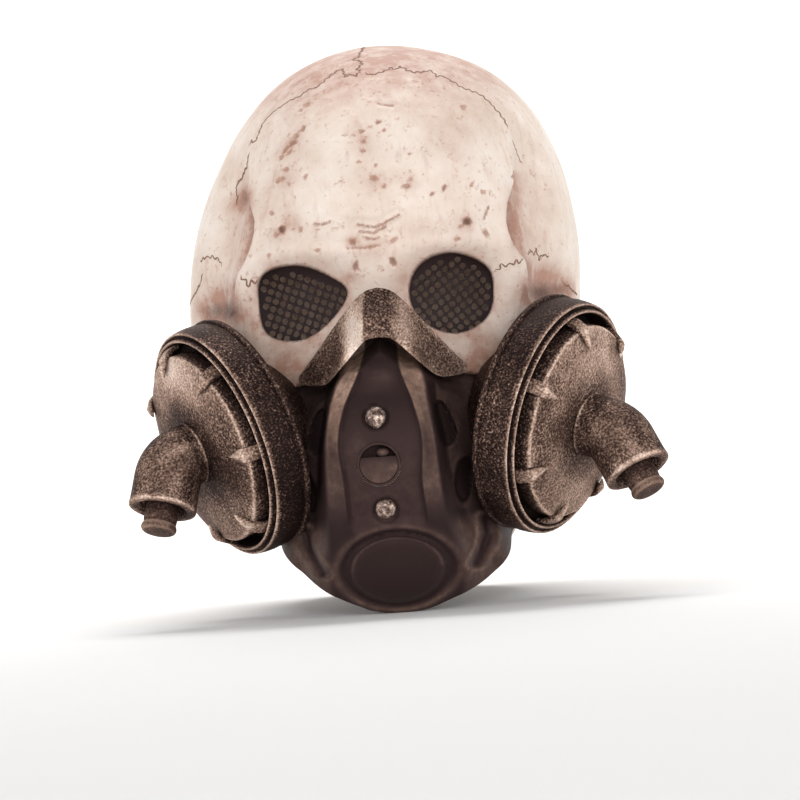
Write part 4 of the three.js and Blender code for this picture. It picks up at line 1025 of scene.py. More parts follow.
# Painted shade: the flap is darker towards its upper edge
flap_shading = 0.12 + 0.36 * smoothstep(np.tile(flap_up, 2), -3.2, 1.5)
wear_and_light = [profile_wear_and_light(PORT_PROFILE, PORT_SIDES), flap_shading, profile_wear_and_light(TAB_PROFILE, TAB["sides"])]
points = moved(points, facing_forward(PORT["x"], PORT["z"], PORT_SUNK))
port_mesh = mesh_of("port_cup_moulding", points, faces, {"ridge": np.concatenate(wear_and_light)})
settle("port_cup_moulding", port_mesh, rubber, ["port_cup"])

# Chin cover: the oval exhale valve on the chin, a smooth button of the facepiece's rubber.
# It is moulded inside a groove, and its edge is brushed lighter.
rings, sides = 16, 96
share = 1 - np.arange(rings + 1)[:, None] / rings
turn = 2 * math.pi * np.arange(sides) / sides
cap_x = CHIN["x"] + CHIN["half_width"] * share * np.cos(turn)
cap_z = CHIN["z"] + CHIN["half_height"] * share * np.sin(turn)
edge_round = 1.5 * np.sqrt(np.clip(1 - share**8, 0, 1)) - 0.5 * bell(share, 0.86, 0.05)
top = face_spot(cap_x, cap_z, edge_round + 0.8 * (1 - share**2) + 0 * turn)
under = face_spot(cap_x, cap_z, -0.6)
count = top.size // 3
cap_faces = tube_faces(rings + 1, sides)
cap_faces += turned_over(cap_faces, count) + wall_faces(range(sides), count)
brushed_edge = 0.34 * bell(share, 0.93, 0.04)
cap_wear = (0.04 + brushed_edge * (0.35 + 0.65 * (np.sin(turn) > 0))).ravel()
cap_mesh = mesh_of("chin_cap_button", np.vstack([top.reshape(-1, 3), under.reshape(-1, 3)]), cap_faces,
                   {"ridge": np.concatenate([cap_wear, 0 * cap_wear])})
settle("chin_cap_button", cap_mesh, rubber, ["chin_cap"])

# Studs: two domed rivet heads above and below the port, cast in latex and rubbed to worn pewter.
# Each sits in a shallow seat in the panel; the upper one runs to a drop.
STUD_SIDES = 48
STUD_SUNK = 1.6
DROP = {"narrowing": 0.4, "stretch": 1.12}
pewter, tree = new_finish("stud_worn_pewter_paint")
coords = add_node(tree, "ShaderNodeTexCoord").outputs["Object"]
rub = add_noise(tree, coords, 0.0022, 5.0, 0.65)
pewter_tone = add_ramp(tree, rub, [(0.38, "#33272a"), (0.5, "#7d665b"), (0.64, "#d6bfb0")])
pewter_bump = add_node(tree, "ShaderNodeBump", {"Height": rub, "Strength": 0.5, "Distance": 0.0006})
add_surface(tree, {
    "Base Color": pewter_tone, "Roughness": 0.3, "Metallic": 0.55, "Normal": pewter_bump.outputs["Normal"]})
for name, (x, z) in STUDS.items():
    profile = [(0, -5), (2, -5), (2, -0.6), (STUD["radius"], -0.6)]
    for t in np.linspace(0, math.pi / 2, 10):
        profile.append((STUD["radius"] * math.cos(t), -0.4 + STUD["height"] * math.sin(t)))
    points, faces = lathe(profile, STUD_SIDES)
    if name == "upper":
        points[:, 0] *= 1 - DROP["narrowing"] * np.clip(points[:, 2] / STUD["radius"], 0, 1) ** 2
        points[:, 2] *= DROP["stretch"]
    stud_mesh = mesh_of(f"stud_{name}", moved(points, facing_forward(x, z, STUD_SUNK)), faces)
    settle(f"stud_{name}", stud_mesh, pewter, [f"rivet_{name}"])

# Nose guard: a bronze-painted latex saddle over the bridge of the nose, flat on its crown and creased along
# its legs. It lies over the lower edge of the bone and the top of the facepiece.
# Steps from the middle to the end of a leg: x, upper and lower edge, and how far crest and brow stand off
GUARD_ROWS = np.array([
    (0, 150.5, 127.5, 28.5, 15), (5.5, 149.2, 126.6, 28, 14.5), (10.5, 145.5, 122.5, 25, 12.5),
    (17, 138.5, 115.8, 18.5, 9.5), (25, 129, 108.5, 12.5, 8), (32, 120.5, 107.5, 9.5, 7.5),
    (39, 112.5, 108.5, 7.5, 7),
])
# Crest of the saddle: x and how far it stands off
GUARD_CREST = [(0, 28.6), (6.6, 28.2), (7.4, 27.5), (16.4, 18.2), (17.4, 17.4), (28, 12.0), (39, 7.5)]
GUARD_THICK = 2.4
GUARD_GRID = {"columns": 64, "rows": 48}

# Painted bronze: dark brown under rose-tan dry-brushing that catches a pebbled skin, worn bright on edges.
# Its wear mark also carries painted light: highlights and shade on the lids, elbows, claws and guard, and
# painted shade on the barrels.
bronze, tree = new_finish("bronze_dry_brushed_paint")
coords = add_node(tree, "ShaderNodeTexCoord").outputs["Object"]
wear_and_light_mark, sleek_mark = add_mark(tree, "wear_and_light"), add_mark(tree, "sleek")
grain = add_noise(tree, coords, 0.0010, 2.5, 0.55)
patched = add_range(tree, add_noise(tree, coords, 0.020, 4.0), 0.35, 0.65, -0.07, 0.07)
grip = add_range(tree, wear_and_light_mark, -0.4, 0.4, 1.55, 0.85)
held = add_math(tree, "MULTIPLY_ADD", sleek_mark, -0.6, grip)
pebbled = add_math(tree, "MULTIPLY_ADD", add_math(tree, "SUBTRACT", grain, 0.5), held, 0.5)
raised = add_math(tree, "ADD", pebbled, patched)
worn_and_lit = add_math(tree, "MULTIPLY_ADD", wear_and_light_mark, 0.30, raised)
bronze_tone = add_ramp(tree, worn_and_lit, [
    (0.24, "#1c1413"), (0.42, "#382925"), (0.56, "#5d4940"), (0.70, "#967c6d"), (0.86, "#d0b4a3"),
    (1.0, "#eedbce")])
bronze_bump = add_node(tree, "ShaderNodeBump", {"Height": grain, "Strength": 0.5, "Distance": 0.0007})
add_surface(tree, {
    "Base Color": bronze_tone, "Roughness": 0.52, "Metallic": 0.2, "Specular IOR Level": 0.08,
    "Specular Tint": linear("#ffdccd"), "Normal": bronze_bump.outputs["Normal"]})

across = np.linspace(-1, 1, 2 * GUARD_GRID["columns"] + 1)
row = rows_at(GUARD_ROWS, np.abs(across) * (len(GUARD_ROWS) - 1))
up = np.linspace(0, 1, GUARD_GRID["rows"] + 1)[:, None]
guard_z = row[:, 2] + (row[:, 1] - row[:, 2]) * up
guard_x = np.broadcast_to(np.sign(across) * row[:, 0], guard_z.shape)
point, out, lean = head_site(angle_of_x(guard_x, head_half(guard_z)), head_place(guard_z))
crest = np.interp(row[:, 0], *np.array(GUARD_CREST).T)
stand_off = crest + (row[:, 4] - crest) * smoothstep(up, 0.35, 1.0)
clear = np.maximum(bone_relief(point, lean), face_relief(guard_x, guard_z)) + GUARD_THICK + 3 * GAP
edge_share = np.minimum(np.minimum(up, 1 - up) * 7, np.minimum(1 - np.abs(across), 1) * 10)
roll_in = 1.2 * (1 - np.clip(edge_share, 0, 1)) ** 2
guard_front = point + out * (np.maximum(stand_off, clear) - roll_in)[..., None]
guard_back = point + out * (np.maximum(stand_off, clear) - GUARD_THICK)[..., None]
count = guard_x.size
guard_faces = grid_faces(grid_index(guard_x.shape)).tolist()
guard_faces += turned_over(guard_faces, count) + wall_faces(grid_border(guard_x.shape), count)
narrow = 1.5 * up
bevel_brush_and_light = smoothstep(np.abs(guard_x) + narrow, 6, 8) * smoothstep(np.abs(guard_x), 20, 12)
# Painted light: the left bevel is painted much brighter than the right one, over its dry-brushing
bevel_brush_and_light = bevel_brush_and_light * np.where(guard_x < 0, 1.45, 0.6) * (0.75 + 0.25 * smoothstep(up, 1, 0.5))
guard_wear_and_light = np.maximum(0.2 + 0.45 * (1 - np.clip(edge_share * 0.9, 0, 1)), 0.2 + bevel_brush_and_light)
guard_wear_and_light = guard_wear_and_light - (0.15 + 0.5 * smoothstep(up, 0.35, 0.7)) * smoothstep(np.abs(guard_x), 12, 7)
guard_points = np.vstack([guard_front.reshape(-1, 3), guard_back.reshape(-1, 3)])
guard_mesh = mesh_of("nose_guard_saddle", guard_points, guard_faces,
                     {"wear_and_light": np.concatenate([guard_wear_and_light.ravel(), np.zeros(count)])})
settle("nose_guard_saddle", guard_mesh, bronze, ["nose_guard"])

# Filter canisters: a round housing on each cheek, cast in latex and painted as bronze. It has a double-beaded
# rim, a barrel, a back flange and a soft neck that is moulded down onto the facepiece.
CANISTER = {"left": -83, "right": 85.5, "y": -85, "z": 83, "forward": 28.9, "down": 16.1}
SIDES = {"left": -1, "right": 1}
DRUM_SIDES = 160
# Radius, height along the axis and wear of the housing, from the recess's floor over the rim to the flange
DRUM_PROFILE = [
    (0, -12, -1.1), (44, -12, -1.1), (50.0, -12, -1.1), (50.6, -11.4, -1.1), (50.6, -2.2, -0.8),
    (50.8, -0.8, 0.1), (51.2, -0.2, 0.7), (51.6, 0, 1.1), (52.0, -0.2, 0.8), (52.4, -0.8, 0),
    (52.6, -1.6, -0.8), (52.7, -3.0, -0.9), (53.4, -3.1, -0.8), (53.8, -2.7, 0), (54.1, -2.3, 0.7),
    (54.5, -2.2, 1.1), (54.9, -2.6, 0.7), (55.1, -3.4, 0), (55.3, -4.6, -0.35), (55.6, -7, -0.4),
    (55.7, -10, -0.4), (55.4, -14, -0.45), (54.9, -16.6, -0.5), (54.7, -17.2, -0.6), (55.2, -17.5, -0.4),
    (56, -17.8, -0.1), (56.2, -18.6, -0.3), (55.8, -19.8, -0.5), (54.6, -20.6, -0.6), (48, -21.8, -0.7),
    (43, -22.5, -0.7),
]
NECK = {
    "start": 43, "start_height": -22.5, "end": 24, "end_height": -42, "steps": 16, "wall": 2.4, "gap": 0.3}
# Radius and height of the housing's inner wall, from the neck to the underside of the recess's floor
HOUSING_INSIDE = [(40.6, -20.2), (50.4, -18.4), (52.2, -15.6), (51, -14.4), (0, -14.4)]


def canister_frame(side):
    """The canister's own frame: +Y out along its axis, +Z up across its face."""
    forward, down = math.radians(CANISTER["forward"]), math.radians(CANISTER["down"])
    level = math.cos(down)
    axis = Vector((SIDES[side] * level * math.cos(forward), -level * math.sin(forward), -math.sin(down)))
    across = axis.cross(Vector((0, 0, 1))).normalized()
    turned = Matrix((across, axis, across.cross(axis))).transposed().to_4x4()
    return Matrix.Translation((CANISTER[side], CANISTER["y"], CANISTER["z"])) @ turned


head_parts = []
for piece in (skull, facepiece):
    points = np.array([tuple(v.co / MM) for v in piece.data.vertices])
    head_parts.append((points - (HEAD_MIDDLE, 0, 0), [list(f.vertices) for f in piece.data.polygons]))
head_points, head_faces = joined(head_parts)
head_tree = BVHTree.FromPolygons(head_points.tolist(), head_faces)


def neck_rings(place, thinner):
    """Rings down the neck from the housing to where each line of it meets the head."""
    from_ring, to_ring = (
        moved(lathe([(NECK[name] - thinner, NECK[f"{name}_height"])], DRUM_SIDES)[0], place)
        for name in ("start", "end"))
    reach = []
    for a, b in zip(from_ring, to_ring):
        way = Vector(b - a)
        hit = head_tree.ray_cast(Vector(a), way.normalized(), way.length)
        reach.append(max(hit[3] - NECK["gap"], 1.0) / way.length if hit[0] is not None else 1.0)
    reach = np.mean([np.roll(reach, n) for n in (-2, -1, 0, 1, 2)], axis=0)[:, None]
    steps = range(1, NECK["steps"] + 1)
    return [from_ring + (to_ring - from_ring) * reach * step / NECK["steps"] for step in steps]


for side in SIDES:
    place = canister_frame(side)
    points = lathe(DRUM_PROFILE, DRUM_SIDES)[0]
    wear_and_light = profile_wear_and_light(DRUM_PROFILE, DRUM_SIDES)
    upright = points[:, 2] / np.maximum(np.hypot(points[:, 0], points[:, 2]), 1)
    # Painted shade on the barrels: the right one darker on top, the left one darker towards its lower half
    shaded = 0.4 * smoothstep(upright, 0.2, 0.9)
    if side == "left":
        shaded = 0.1 + 0.35 * smoothstep(upright, 0.35, -0.45)
    wear_and_light = wear_and_light - shaded * (points[:, 1] < -4) * (points[:, 1] > -17)
    inside = moved(lathe(HOUSING_INSIDE, DRUM_SIDES)[0], place)
    outer_neck, inner_neck = neck_rings(place, 0), neck_rings(place, NECK["wall"])
    points = np.vstack([moved(points, place), *outer_neck, *inner_neck[::-1], inside])
    faces = tube_faces(len(points) // DRUM_SIDES, DRUM_SIDES)
    wear_and_light = np.concatenate([wear_and_light, np.full(len(points) - len(wear_and_light), -0.5)])
    drum_mesh = mesh_of(f"drum_{side}_housing", points, faces, {"wear_and_light": wear_and_light})
    settle(f"drum_{side}_housing", drum_mesh, bronze, [f"drum_{side}"])

# Lids: domed pucks of bronze-painted latex that sit in the housings. Each is held by a ring of pointed claws
# that reach over from the rim and are cast in one with it.
LID_SIDES = 144
# Radius, height along the axis and wear, from the inside over the edge to the middle of the dome; darker
# towards the middle, as painted shade round the elbow's foot
LID_PROFILE = [
    (0, 7, 0), (17, 7, 0), (41, 2.9, 0), (43.5, 0.7, 0), (43.5, -5, 0), (45.4, -5, -0.9),
    (45.8, 2.0, -0.1), (45.8, 3.3, 0.2), (45.5, 4.1, 0.9), (45.0, 4.5, 0.9), (44.2, 4.8, 0.3),
    (42, 5.5, 0.05), (38, 6.8, 0), (34, 7.6, 0), (29, 8.4, 0), (22, 9.2, -0.1), (17, 9.5, -0.3),
    (0, 9.5, -0.4),
]
CLAWS = {"count": 7, "first": 30.0}
# One claw along its back, a flat strap that folds to a ridged point: radius and height of its top,
# half width, thickness, wear and ridge
CLAW_STEPS = [
    (50.1, -3.0, 3.3, 2.0, -0.4, 0), (49.9, 0.2, 3.3, 2.2, 0.2, 0), (49.0, 2.6, 3.3, 2.3, 0.4, 0),
    (47.5, 5.2, 3.3, 2.4, 0.6, 0.1), (46.4, 6.9, 3.3, 2.5, 1.1, 0.4), (44.6, 7.9, 3.1, 2.4, 0.8, 0.8),
    (42.4, 8.5, 2.3, 2.1, 0.8, 1), (40.0, 9.0, 1.3, 1.6, 1.0, 1), (37.6, 9.3, 0.15, 0.6, 1.2, 1),
]


def new_generator(name, inputs):
    """A geometry node group with named inputs and one geometry output, and its input node."""
    group = bpy.data.node_groups.new(name, "GeometryNodeTree")
    for label, kind in inputs.items():
        group.interface.new_socket(label, in_out="INPUT", socket_type=kind)
    group.interface.new_socket("Geometry", in_out="OUTPUT", socket_type="NodeSocketGeometry")
    return group, add_node(group, "NodeGroupInput").outputs


def generated(name, group, values, modifiers=()):
    """The mesh that a node group makes from its inputs' values, with more modifiers after it."""
    maker = bpy.data.objects.new(name, bpy.data.meshes.new(name))
    scene.collection.objects.link(maker)
    nodes = maker.modifiers.new("nodes", "NODES")
    nodes.node_group = group
    for socket in group.interface.items_tree:
        if socket.in_out == "INPUT":
            nodes[socket.identifier] = values[socket.name]
    for kind, settings in modifiers:
        added = maker.modifiers.new(kind.lower(), kind)
        for label, value in settings.items():
            setattr(added, label, value)
    mesh = bpy.data.meshes.new_from_object(maker.evaluated_get(bpy.context.evaluated_depsgraph_get()))
    bpy.data.objects.remove(maker)
    return mesh


def helper_object(name, points, faces, marks=None):
    """A passing object that a node group reads."""
    helper = bpy.data.objects.new(name, mesh_of(name, points, faces, marks))
    scene.collection.objects.link(helper)
    return helper


claw_ring, given = new_generator("ring_of_claws", {
    "Claw": "NodeSocketObject", "Count": "NodeSocketInt", "First": "NodeSocketFloat",
    "Step": "NodeSocketFloat", "Finish": "NodeSocketMaterial"})
spots = add_node(claw_ring, "GeometryNodePoints", {"Count": given["Count"]})
order = add_node(claw_ring, "GeometryNodeInputIndex")
spin = add_math(claw_ring, "MULTIPLY_ADD", order.outputs["Index"], given["Step"], given["First"])
euler = add_node(claw_ring, "ShaderNodeCombineXYZ", {"Y": spin})
turned = add_node(claw_ring, "FunctionNodeEulerToRotation", {"Euler": euler.outputs["Vector"]})
claw_shape = add_node(claw_ring, "GeometryNodeObjectInfo", {"Object": given["Claw"]})
placed = add_node(claw_ring, "GeometryNodeInstanceOnPoints", {
    "Points": spots.outputs[0], "Instance": claw_shape.outputs["Geometry"],
    "Rotation": turned.outputs["Rotation"]})
solid = add_node(claw_ring, "GeometryNodeRealizeInstances", {"Geometry": placed.outputs["Instances"]})
painted = add_node(claw_ring, "GeometryNodeSetMaterial", {
    "Geometry": solid.outputs["Geometry"], "Material": given["Finish"]})
add_node(claw_ring, "NodeGroupOutput", {"Geometry": painted.outputs["Geometry"]})

# Across a claw: share of the half width, and depth below its folded ridge as a share of the thickness
CLAW_SECTION = [(-1, 0.5), (0, -0.3), (1, 0.5), (1, 1), (-1, 1)]
points, wear_and_light = [], []
for n, (radius, height, half, thick, worn_edge, ridge) in enumerate(CLAW_STEPS):
    before, after = CLAW_STEPS[max(n - 1, 0)], CLAW_STEPS[min(n + 1, len(CLAW_STEPS) - 1)]
    along = np.array([after[0] - before[0], after[1] - before[1]])
    down = np.array([-along[1], along[0]]) / np.linalg.norm(along)
    for side_step, depth in CLAW_SECTION:
        depth = depth * ridge if depth < 1 else 1
        at = np.array([radius, height]) + down * depth * thick
        points.append((at[0], at[1], side_step * half))
        # The claw's underside is painted darker, as painted shade
        wear_and_light.append(worn_edge * (1 - depth) if depth < 1 else -0.3)
corners = len(CLAW_SECTION)
faces = tube_faces(len(CLAW_STEPS), corners)
faces += [list(range(corners)), list(range(len(points) - 1, len(points) - corners - 1, -1))]
claw = helper_object("claw", np.array(points), faces, {"wear_and_light": np.array(wear_and_light)})
for side in SIDES:
    points, faces = lathe(LID_PROFILE, LID_SIDES)
    wear_and_light = profile_wear_and_light(LID_PROFILE, LID_SIDES)
    reach = np.hypot(points[:, 0], points[:, 2])
    upright = points[:, 2] / np.maximum(reach, 1)
    domed = points[:, 1] > 4
    # Painted sheen: the dome is painted lighter above and below its middle, most on the left lid's upper
    # part; its middle is painted darker on the left lid and lighter on the right one, as painted shade and
    # light
    sheen_zone = smoothstep(reach, 17, 33) * smoothstep(reach, 46, 43) * domed
    sheen_strength = np.where(upright > 0, 0.95 - 0.25 * SIDES[side], 0.5 + 0.12 * SIDES[side])
    wear_and_light = wear_and_light + sheen_zone * sheen_strength * np.abs(upright) ** 2
    wear_and_light = wear_and_light + (0.08 + 0.18 * SIDES[side]) * smoothstep(reach, 40, 30) * domed
    lumps = 0.6 * ripple(points[:, 0], points[:, 2], 26, 11 + SIDES[side])
    points[:, 1] += lumps * smoothstep(reach, 16.5, 26) * domed
    ring = generated("claws", claw_ring, {
        "Claw": claw, "Count": CLAWS["count"], "First": math.radians(CLAWS["first"]) * SIDES[side],
        "Step": 2 * math.pi / CLAWS["count"] * SIDES[side], "Finish": bronze})
    ring_points = np.array([v.co / MM for v in ring.vertices])
    ring_wear_and_light = [mark.value for mark in ring.attributes["wear_and_light"].data]
    points, faces = joined([(points, faces), (ring_points, [list(f.vertices) for f in ring.polygons])])
    points = moved(points, canister_frame(side))
    lid_mesh = mesh_of(f"lid_{side}_dome", points, faces, {"wear_and_light": [*wear_and_light, *ring_wear_and_light]})
    settle(f"lid_{side}_dome", lid_mesh, bronze, [f"lid_{side}"])
bpy.data.objects.remove(claw)

# Elbows: short thick pipe bends of soft bronze-painted latex, cast onto the middle of the lids. Each droops
# to a mouth with a plain rolled lip, and holds a smooth plug that ends in a rounded bead.
LID_CROWN = 9.5
DROOP = {
    "left": {"way": (-0.2, -0.36, -0.91), "straight": 12, "spout": 23.6},
    "right": {"way": (0.39, -0.36, -0.85), "straight": 14.5, "spout": 22.4},
}
ELBOW = {"radius": 14.6, "bend": 15.2, "sides": 72, "steps": 24}
# Foot of the elbow, out from the lid: distance, swelling and wear
FOOT = [(0, 0.6, -0.4), (0.8, 0.8, 0.5), (1.4, 0, -0.2)]
# Mouth of the elbow, back from its tip: distance, swelling and wear
MOUTH = [
    (9, 1.0, 0), (5, 1.0, 0), (2.6, 1.1, 0.05), (1.6, 1.25, 0.4), (0.9, 1.3, 0.8), (0.3, 1.1, 0.8),
    (0, 0.5, 0.5),
]
# Bore of the elbow, back from its tip: distance, radius and wear
BORE = [(0, 12.1, -0.1), (0.6, 11.4, 0.2), (10, 10.4, -0.4), (10, 0, -0.4)]
PLUG_SIDES = 56
# Plug: radius, height from the mouth and wear
PLUG_PROFILE = [
    (0, -9.6, -0.3), (7.8, -9.6, -0.3), (7.8, 2, -0.3), (7.8, 5.0, 0), (7.7, 6.0, 0), (7.6, 6.6, -0.15),
    (7.7, 7.2, 0.2), (8.0, 7.8, 0.7), (8.3, 8.6, 0.4), (8.3, 9.6, 0.2), (7.9, 10.4, 0.5),
    (7.2, 10.9, 0.5), (6.2, 11, 0), (0, 11, -0.25),
]
for side, droop in DROOP.items():
    place = canister_frame(side)
    start = place @ Vector((0, LID_CROWN + GAP, 0))
    ahead = (place.to_3x3() @ Vector((0, 1, 0))).normalized()
    mouth = Vector(droop["way"]).normalized()
    knee = start + ahead * droop["straight"]
    tip = knee + mouth * droop["spout"]
    axle = ahead.cross(mouth).normalized()
    turn = ahead.angle(mouth)
    cut_back = min(ELBOW["bend"] * math.tan(turn / 2), droop["straight"] - 1.5)
    bend_start = knee - ahead * cut_back
    pivot = bend_start + axle.cross(ahead) * cut_back / math.tan(turn / 2)
    rings = [(start, ahead, 0, 0)]
    for away, swell, worn_edge in FOOT:
        rings.append((start + ahead * away, ahead, ELBOW["radius"] + swell, worn_edge))
    for n in range(ELBOW["steps"] + 1):
        share = n / ELBOW["steps"]
        swing = Matrix.Rotation(turn * share, 3, axle)
        middle = pivot + swing @ (bend_start - pivot)
        rings.append((middle, swing @ ahead, ELBOW["radius"] + share, 0.1 * min(n, 4) - 0.3))
    for back, swell, worn_edge in MOUTH:
        rings.append((tip - mouth * back, mouth, ELBOW["radius"] + swell, worn_edge))
    for back, radius, worn_edge in BORE:
        rings.append((tip - mouth * back, mouth, radius, worn_edge))
    points, wear_and_light = [], []
    for middle, way, radius, worn_edge in rings:
        for n in range(ELBOW["sides"]):
            spin = 2 * math.pi * n / ELBOW["sides"]
            outward = axle * math.cos(spin) + axle.cross(way) * math.sin(spin)
            points.append(middle + outward * radius)
            # Painted light: the pipe is painted lighter where it faces forward and along its outer side
            front_and_side_light = 0.85 * max(0.0, -outward.y) ** 2 + 0.4 * max(0.0, SIDES[side] * outward.x) ** 4
            uneven = ripple(spin * radius, 0.6 * (middle - start).length, 11, 40 + SIDES[side])
            wear_and_light.append(worn_edge - 0.3 + front_and_side_light + 0.35 * uneven)
    faces = tube_faces(len(rings), ELBOW["sides"])
    elbow_mesh = mesh_of(f"elbow_{side}_pipe", np.array(points), faces, {"wear_and_light": wear_and_light})
    settle(f"elbow_{side}_pipe", elbow_mesh, bronze, [f"elbow_{side}"])
    points, faces = lathe(PLUG_PROFILE, PLUG_SIDES)
    to_mouth = Matrix.Translation(tip) @ Vector((0, 1, 0)).rotation_difference(mouth).to_matrix().to_4x4()
    plug_marks = {"wear_and_light": profile_wear_and_light(PLUG_PROFILE, PLUG_SIDES), "sleek": np.ones(len(points))}
    plug_mesh = mesh_of(f"plug_{side}_ribbed", moved(points, to_mouth), faces, plug_marks)
    settle(f"plug_{side}_ribbed", plug_mesh, bronze, [f"plug_{side}"])

# Eye netting: black perforated plastic sheet glued behind each eye hole. Its round holes stand in square rows
# that run askew, within a plain border, and it follows the back of the socket. The border is wider along the
# top, where the plain sheet stands for the shade under the socket's rim.
NET = {
    "behind": 3.6, "thick": 0.6, "margin": 3.0, "border": 1.3, "lowered": 1.2, "pitch": 3.65, "hole": 1.55,
    "across": 18, "weld": 0.05}
NET_TWIST = {"left": 24, "right": -34}
# Part of the socket's back that the net is laid on: half width, half height, columns and rows
PATCH = {"half_width": 36, "half_height": 34, "columns": 49, "rows": 47}

# Netting: matt black-brown plastic.
netting, tree = new_finish("netting_black_plastic")
add_surface(tree, {"Base Color": linear("#332626"), "Roughness": 0.6, "Specular IOR Level": 0.15})

net_maker, given = new_generator("perforated_sheet", {
    "Holed Cell": "NodeSocketObject", "Plain Cell": "NodeSocketObject", "Socket": "NodeSocketObject",
    "Window": "NodeSocketObject", "Holes": "NodeSocketObject", "Across": "NodeSocketInt",
    "Pitch": "NodeSocketFloat", "Twist": "NodeSocketFloat", "Middle": "NodeSocketVector",
    "Finish": "NodeSocketMaterial"})


def net_math(operation, *values):
    return add_math(net_maker, operation, *values)


def object_shape(name):
    return add_node(net_maker, "GeometryNodeObjectInfo", {"Object": given[name]}).outputs["Geometry"]


def look_back(name):
    """A ray backwards from each place to one of the given objects."""
    return add_node(net_maker, "GeometryNodeRaycast", {
        "Target Geometry": object_shape(name), "Ray Direction": (0.0, 1.0, 0.0), "Ray Length": 1.0})


index = add_node(net_maker, "GeometryNodeInputIndex").outputs["Index"]
line = net_math("FLOOR", net_math("DIVIDE", index, given["Across"]))
middle_step = net_math("MULTIPLY", given["Across"], 0.5)
along = net_math("SUBTRACT", net_math("MODULO", index, given["Across"]), middle_step)
rise = net_math("SUBTRACT", line, middle_step)
flat = add_node(net_maker, "ShaderNodeCombineXYZ", {
    "X": net_math("MULTIPLY", along, given["Pitch"]), "Z": net_math("MULTIPLY", rise, given["Pitch"])})
twisted = add_node(net_maker, "ShaderNodeVectorRotate", {
    "Vector": flat.outputs["Vector"], "Angle": given["Twist"]}, rotation_type="Y_AXIS")
spot = add_node(net_maker, "ShaderNodeVectorMath", {
    0: twisted.outputs["Vector"], 1: given["Middle"]}, operation="ADD")
cells = add_node(net_maker, "GeometryNodePoints", {
    "Count": net_math("MULTIPLY", given["Across"], given["Across"]), "Position": spot.outputs["Vector"]})
missed = add_node(net_maker, "FunctionNodeBooleanMath", {
    0: look_back("Window").outputs["Is Hit"]}, operation="NOT")
kept = add_node(net_maker, "GeometryNodeDeleteGeometry", {
    "Geometry": cells.outputs[0], "Selection": missed.outputs[0]}, domain="POINT")
cell_euler = add_node(net_maker, "ShaderNodeCombineXYZ", {"Y": given["Twist"]})
cell_turn = add_node(net_maker, "FunctionNodeEulerToRotation", {"Euler": cell_euler.outputs["Vector"]})
holed_here = look_back("Holes").outputs["Is Hit"]
plain_here = add_node(net_maker, "FunctionNodeBooleanMath", {0: holed_here}, operation="NOT").outputs[0]
both = add_node(net_maker, "GeometryNodeJoinGeometry")
for shape, selection in (("Holed Cell", holed_here), ("Plain Cell", plain_here)):
    copies = add_node(net_maker, "GeometryNodeInstanceOnPoints", {
        "Points": kept.outputs["Geometry"], "Selection": selection, "Instance": object_shape(shape),
        "Rotation": cell_turn.outputs["Rotation"]})
    net_maker.links.new(copies.outputs["Instances"], both.inputs["Geometry"])
sheet = add_node(net_maker, "GeometryNodeRealizeInstances", {"Geometry": both.outputs["Geometry"]})
welded = add_node(net_maker, "GeometryNodeMergeByDistance", {
    "Geometry": sheet.outputs["Geometry"], "Distance": NET["weld"] * MM})
draped = add_node(net_maker, "GeometryNodeSetPosition", {
    "Geometry": welded.outputs["Geometry"], "Position": look_back("Socket").outputs["Hit Position"]})
painted = add_node(net_maker, "GeometryNodeSetMaterial", {
    "Geometry": draped.outputs["Geometry"], "Material": given["Finish"]})
add_node(net_maker, "NodeGroupOutput", {"Geometry": painted.outputs["Geometry"]})


def socket_back(x, z):
    """Points behind the bone's inner wall at places in front view."""
    angle, place = angle_of_x(x, head_half(z)), head_place(z)
    for _ in range(6):
        point, out, lean = head_site(angle, place)
        seen = point + out * bone_relief(point, lean)[..., None]
        angle = angle_of_x(point[..., 0] - lean + x - seen[..., 0], head_half(z))
        place = head_place(point[..., 2] + z - seen[..., 2])
    point, out, lean = head_site(angle, place)
    seen = point + out * (bone_relief(point, lean) - SKULL_WALL - NET["behind"])[..., None]
    return np.stack([x, seen[..., 1], z], -1)


def grown(loop, margin):
    """An outline moved outwards from its middle."""
    ray = loop - loop.mean(0)
    return loop.mean(0) + ray * (1 + margin / np.linalg.norm(ray, axis=1, keepdims=True))


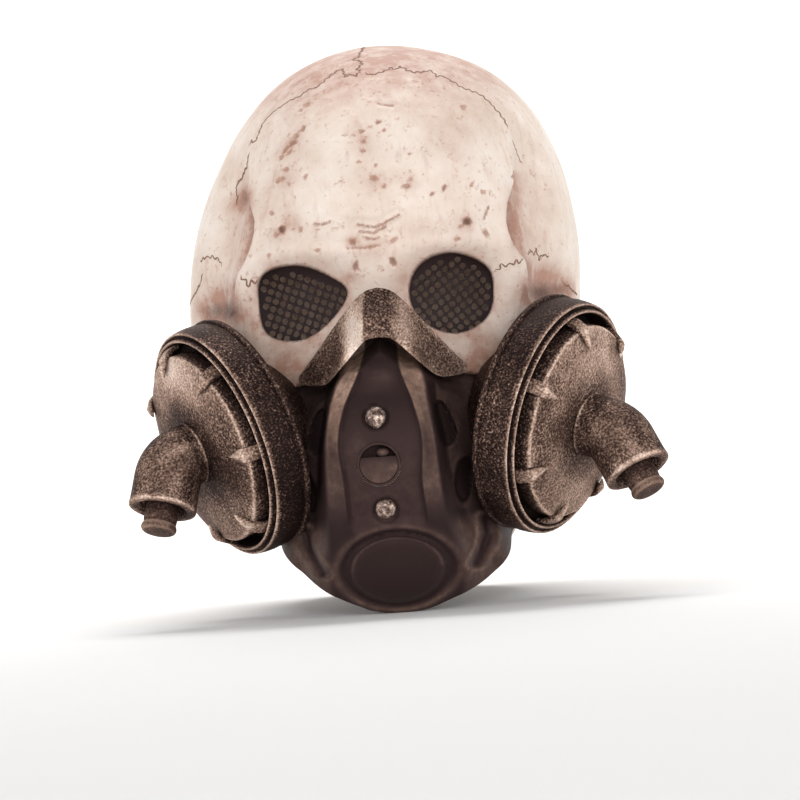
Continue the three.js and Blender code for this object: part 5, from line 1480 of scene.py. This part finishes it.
CELL_FRONT = -200.0  # well in front of the face, where the flat net starts
CELL_POINTS = 16
turn = np.radians(360 / CELL_POINTS * np.arange(CELL_POINTS))
corner = NET["pitch"] / 2 / np.maximum(np.abs(np.cos(turn)), np.abs(np.sin(turn)))
rim = np.stack([corner * np.cos(turn), 0 * turn, corner * np.sin(turn)], -1)
hole_rim = np.stack([NET["hole"] * np.cos(turn), 0 * turn, NET["hole"] * np.sin(turn)], -1)
ring_faces = wall_faces(range(CELL_POINTS), CELL_POINTS)
holed_cell = helper_object("holed_cell", np.vstack([rim, hole_rim]), ring_faces)
plain_cell = helper_object("plain_cell", rim, [list(range(CELL_POINTS))])
for side, loop in eye_loops.items():
    middle = loop.mean(0)
    windows = []
    for name, margin, lower in (("window", NET["margin"], 0), ("holes", -NET["border"], NET["lowered"])):
        outline = grown(loop, margin) - (0, lower)
        flat_outline = np.stack([outline[:, 0], np.full(len(outline), CELL_FRONT + 1), outline[:, 1]], -1)
        windows.append(helper_object(name, flat_outline, [list(range(len(outline)))]))
    patch_x, patch_z = np.meshgrid(
        np.linspace(-PATCH["half_width"], PATCH["half_width"], PATCH["columns"]) + middle[0],
        np.linspace(-PATCH["half_height"], PATCH["half_height"], PATCH["rows"]) + middle[1])
    patch_points = socket_back(patch_x, patch_z).reshape(-1, 3)
    back = helper_object("socket_back", patch_points, grid_faces(grid_index(patch_x.shape)).tolist())
    net_mesh = generated("net", net_maker, {
        "Holed Cell": holed_cell, "Plain Cell": plain_cell, "Socket": back,
        "Window": windows[0], "Holes": windows[1], "Across": NET["across"],
        "Pitch": NET["pitch"] * MM, "Twist": math.radians(NET_TWIST[side]),
        "Middle": Vector((middle[0], CELL_FRONT, middle[1])) * MM, "Finish": netting},
        [("SOLIDIFY", {"thickness": NET["thick"] * MM, "offset": 0.0})])
    settle(f"eye_net_{side}_sheet", net_mesh, netting, [f"eye_net_{side}"])
    for helper in (*windows, back):
        bpy.data.objects.remove(helper)
bpy.data.objects.remove(holed_cell)
bpy.data.objects.remove(plain_cell)
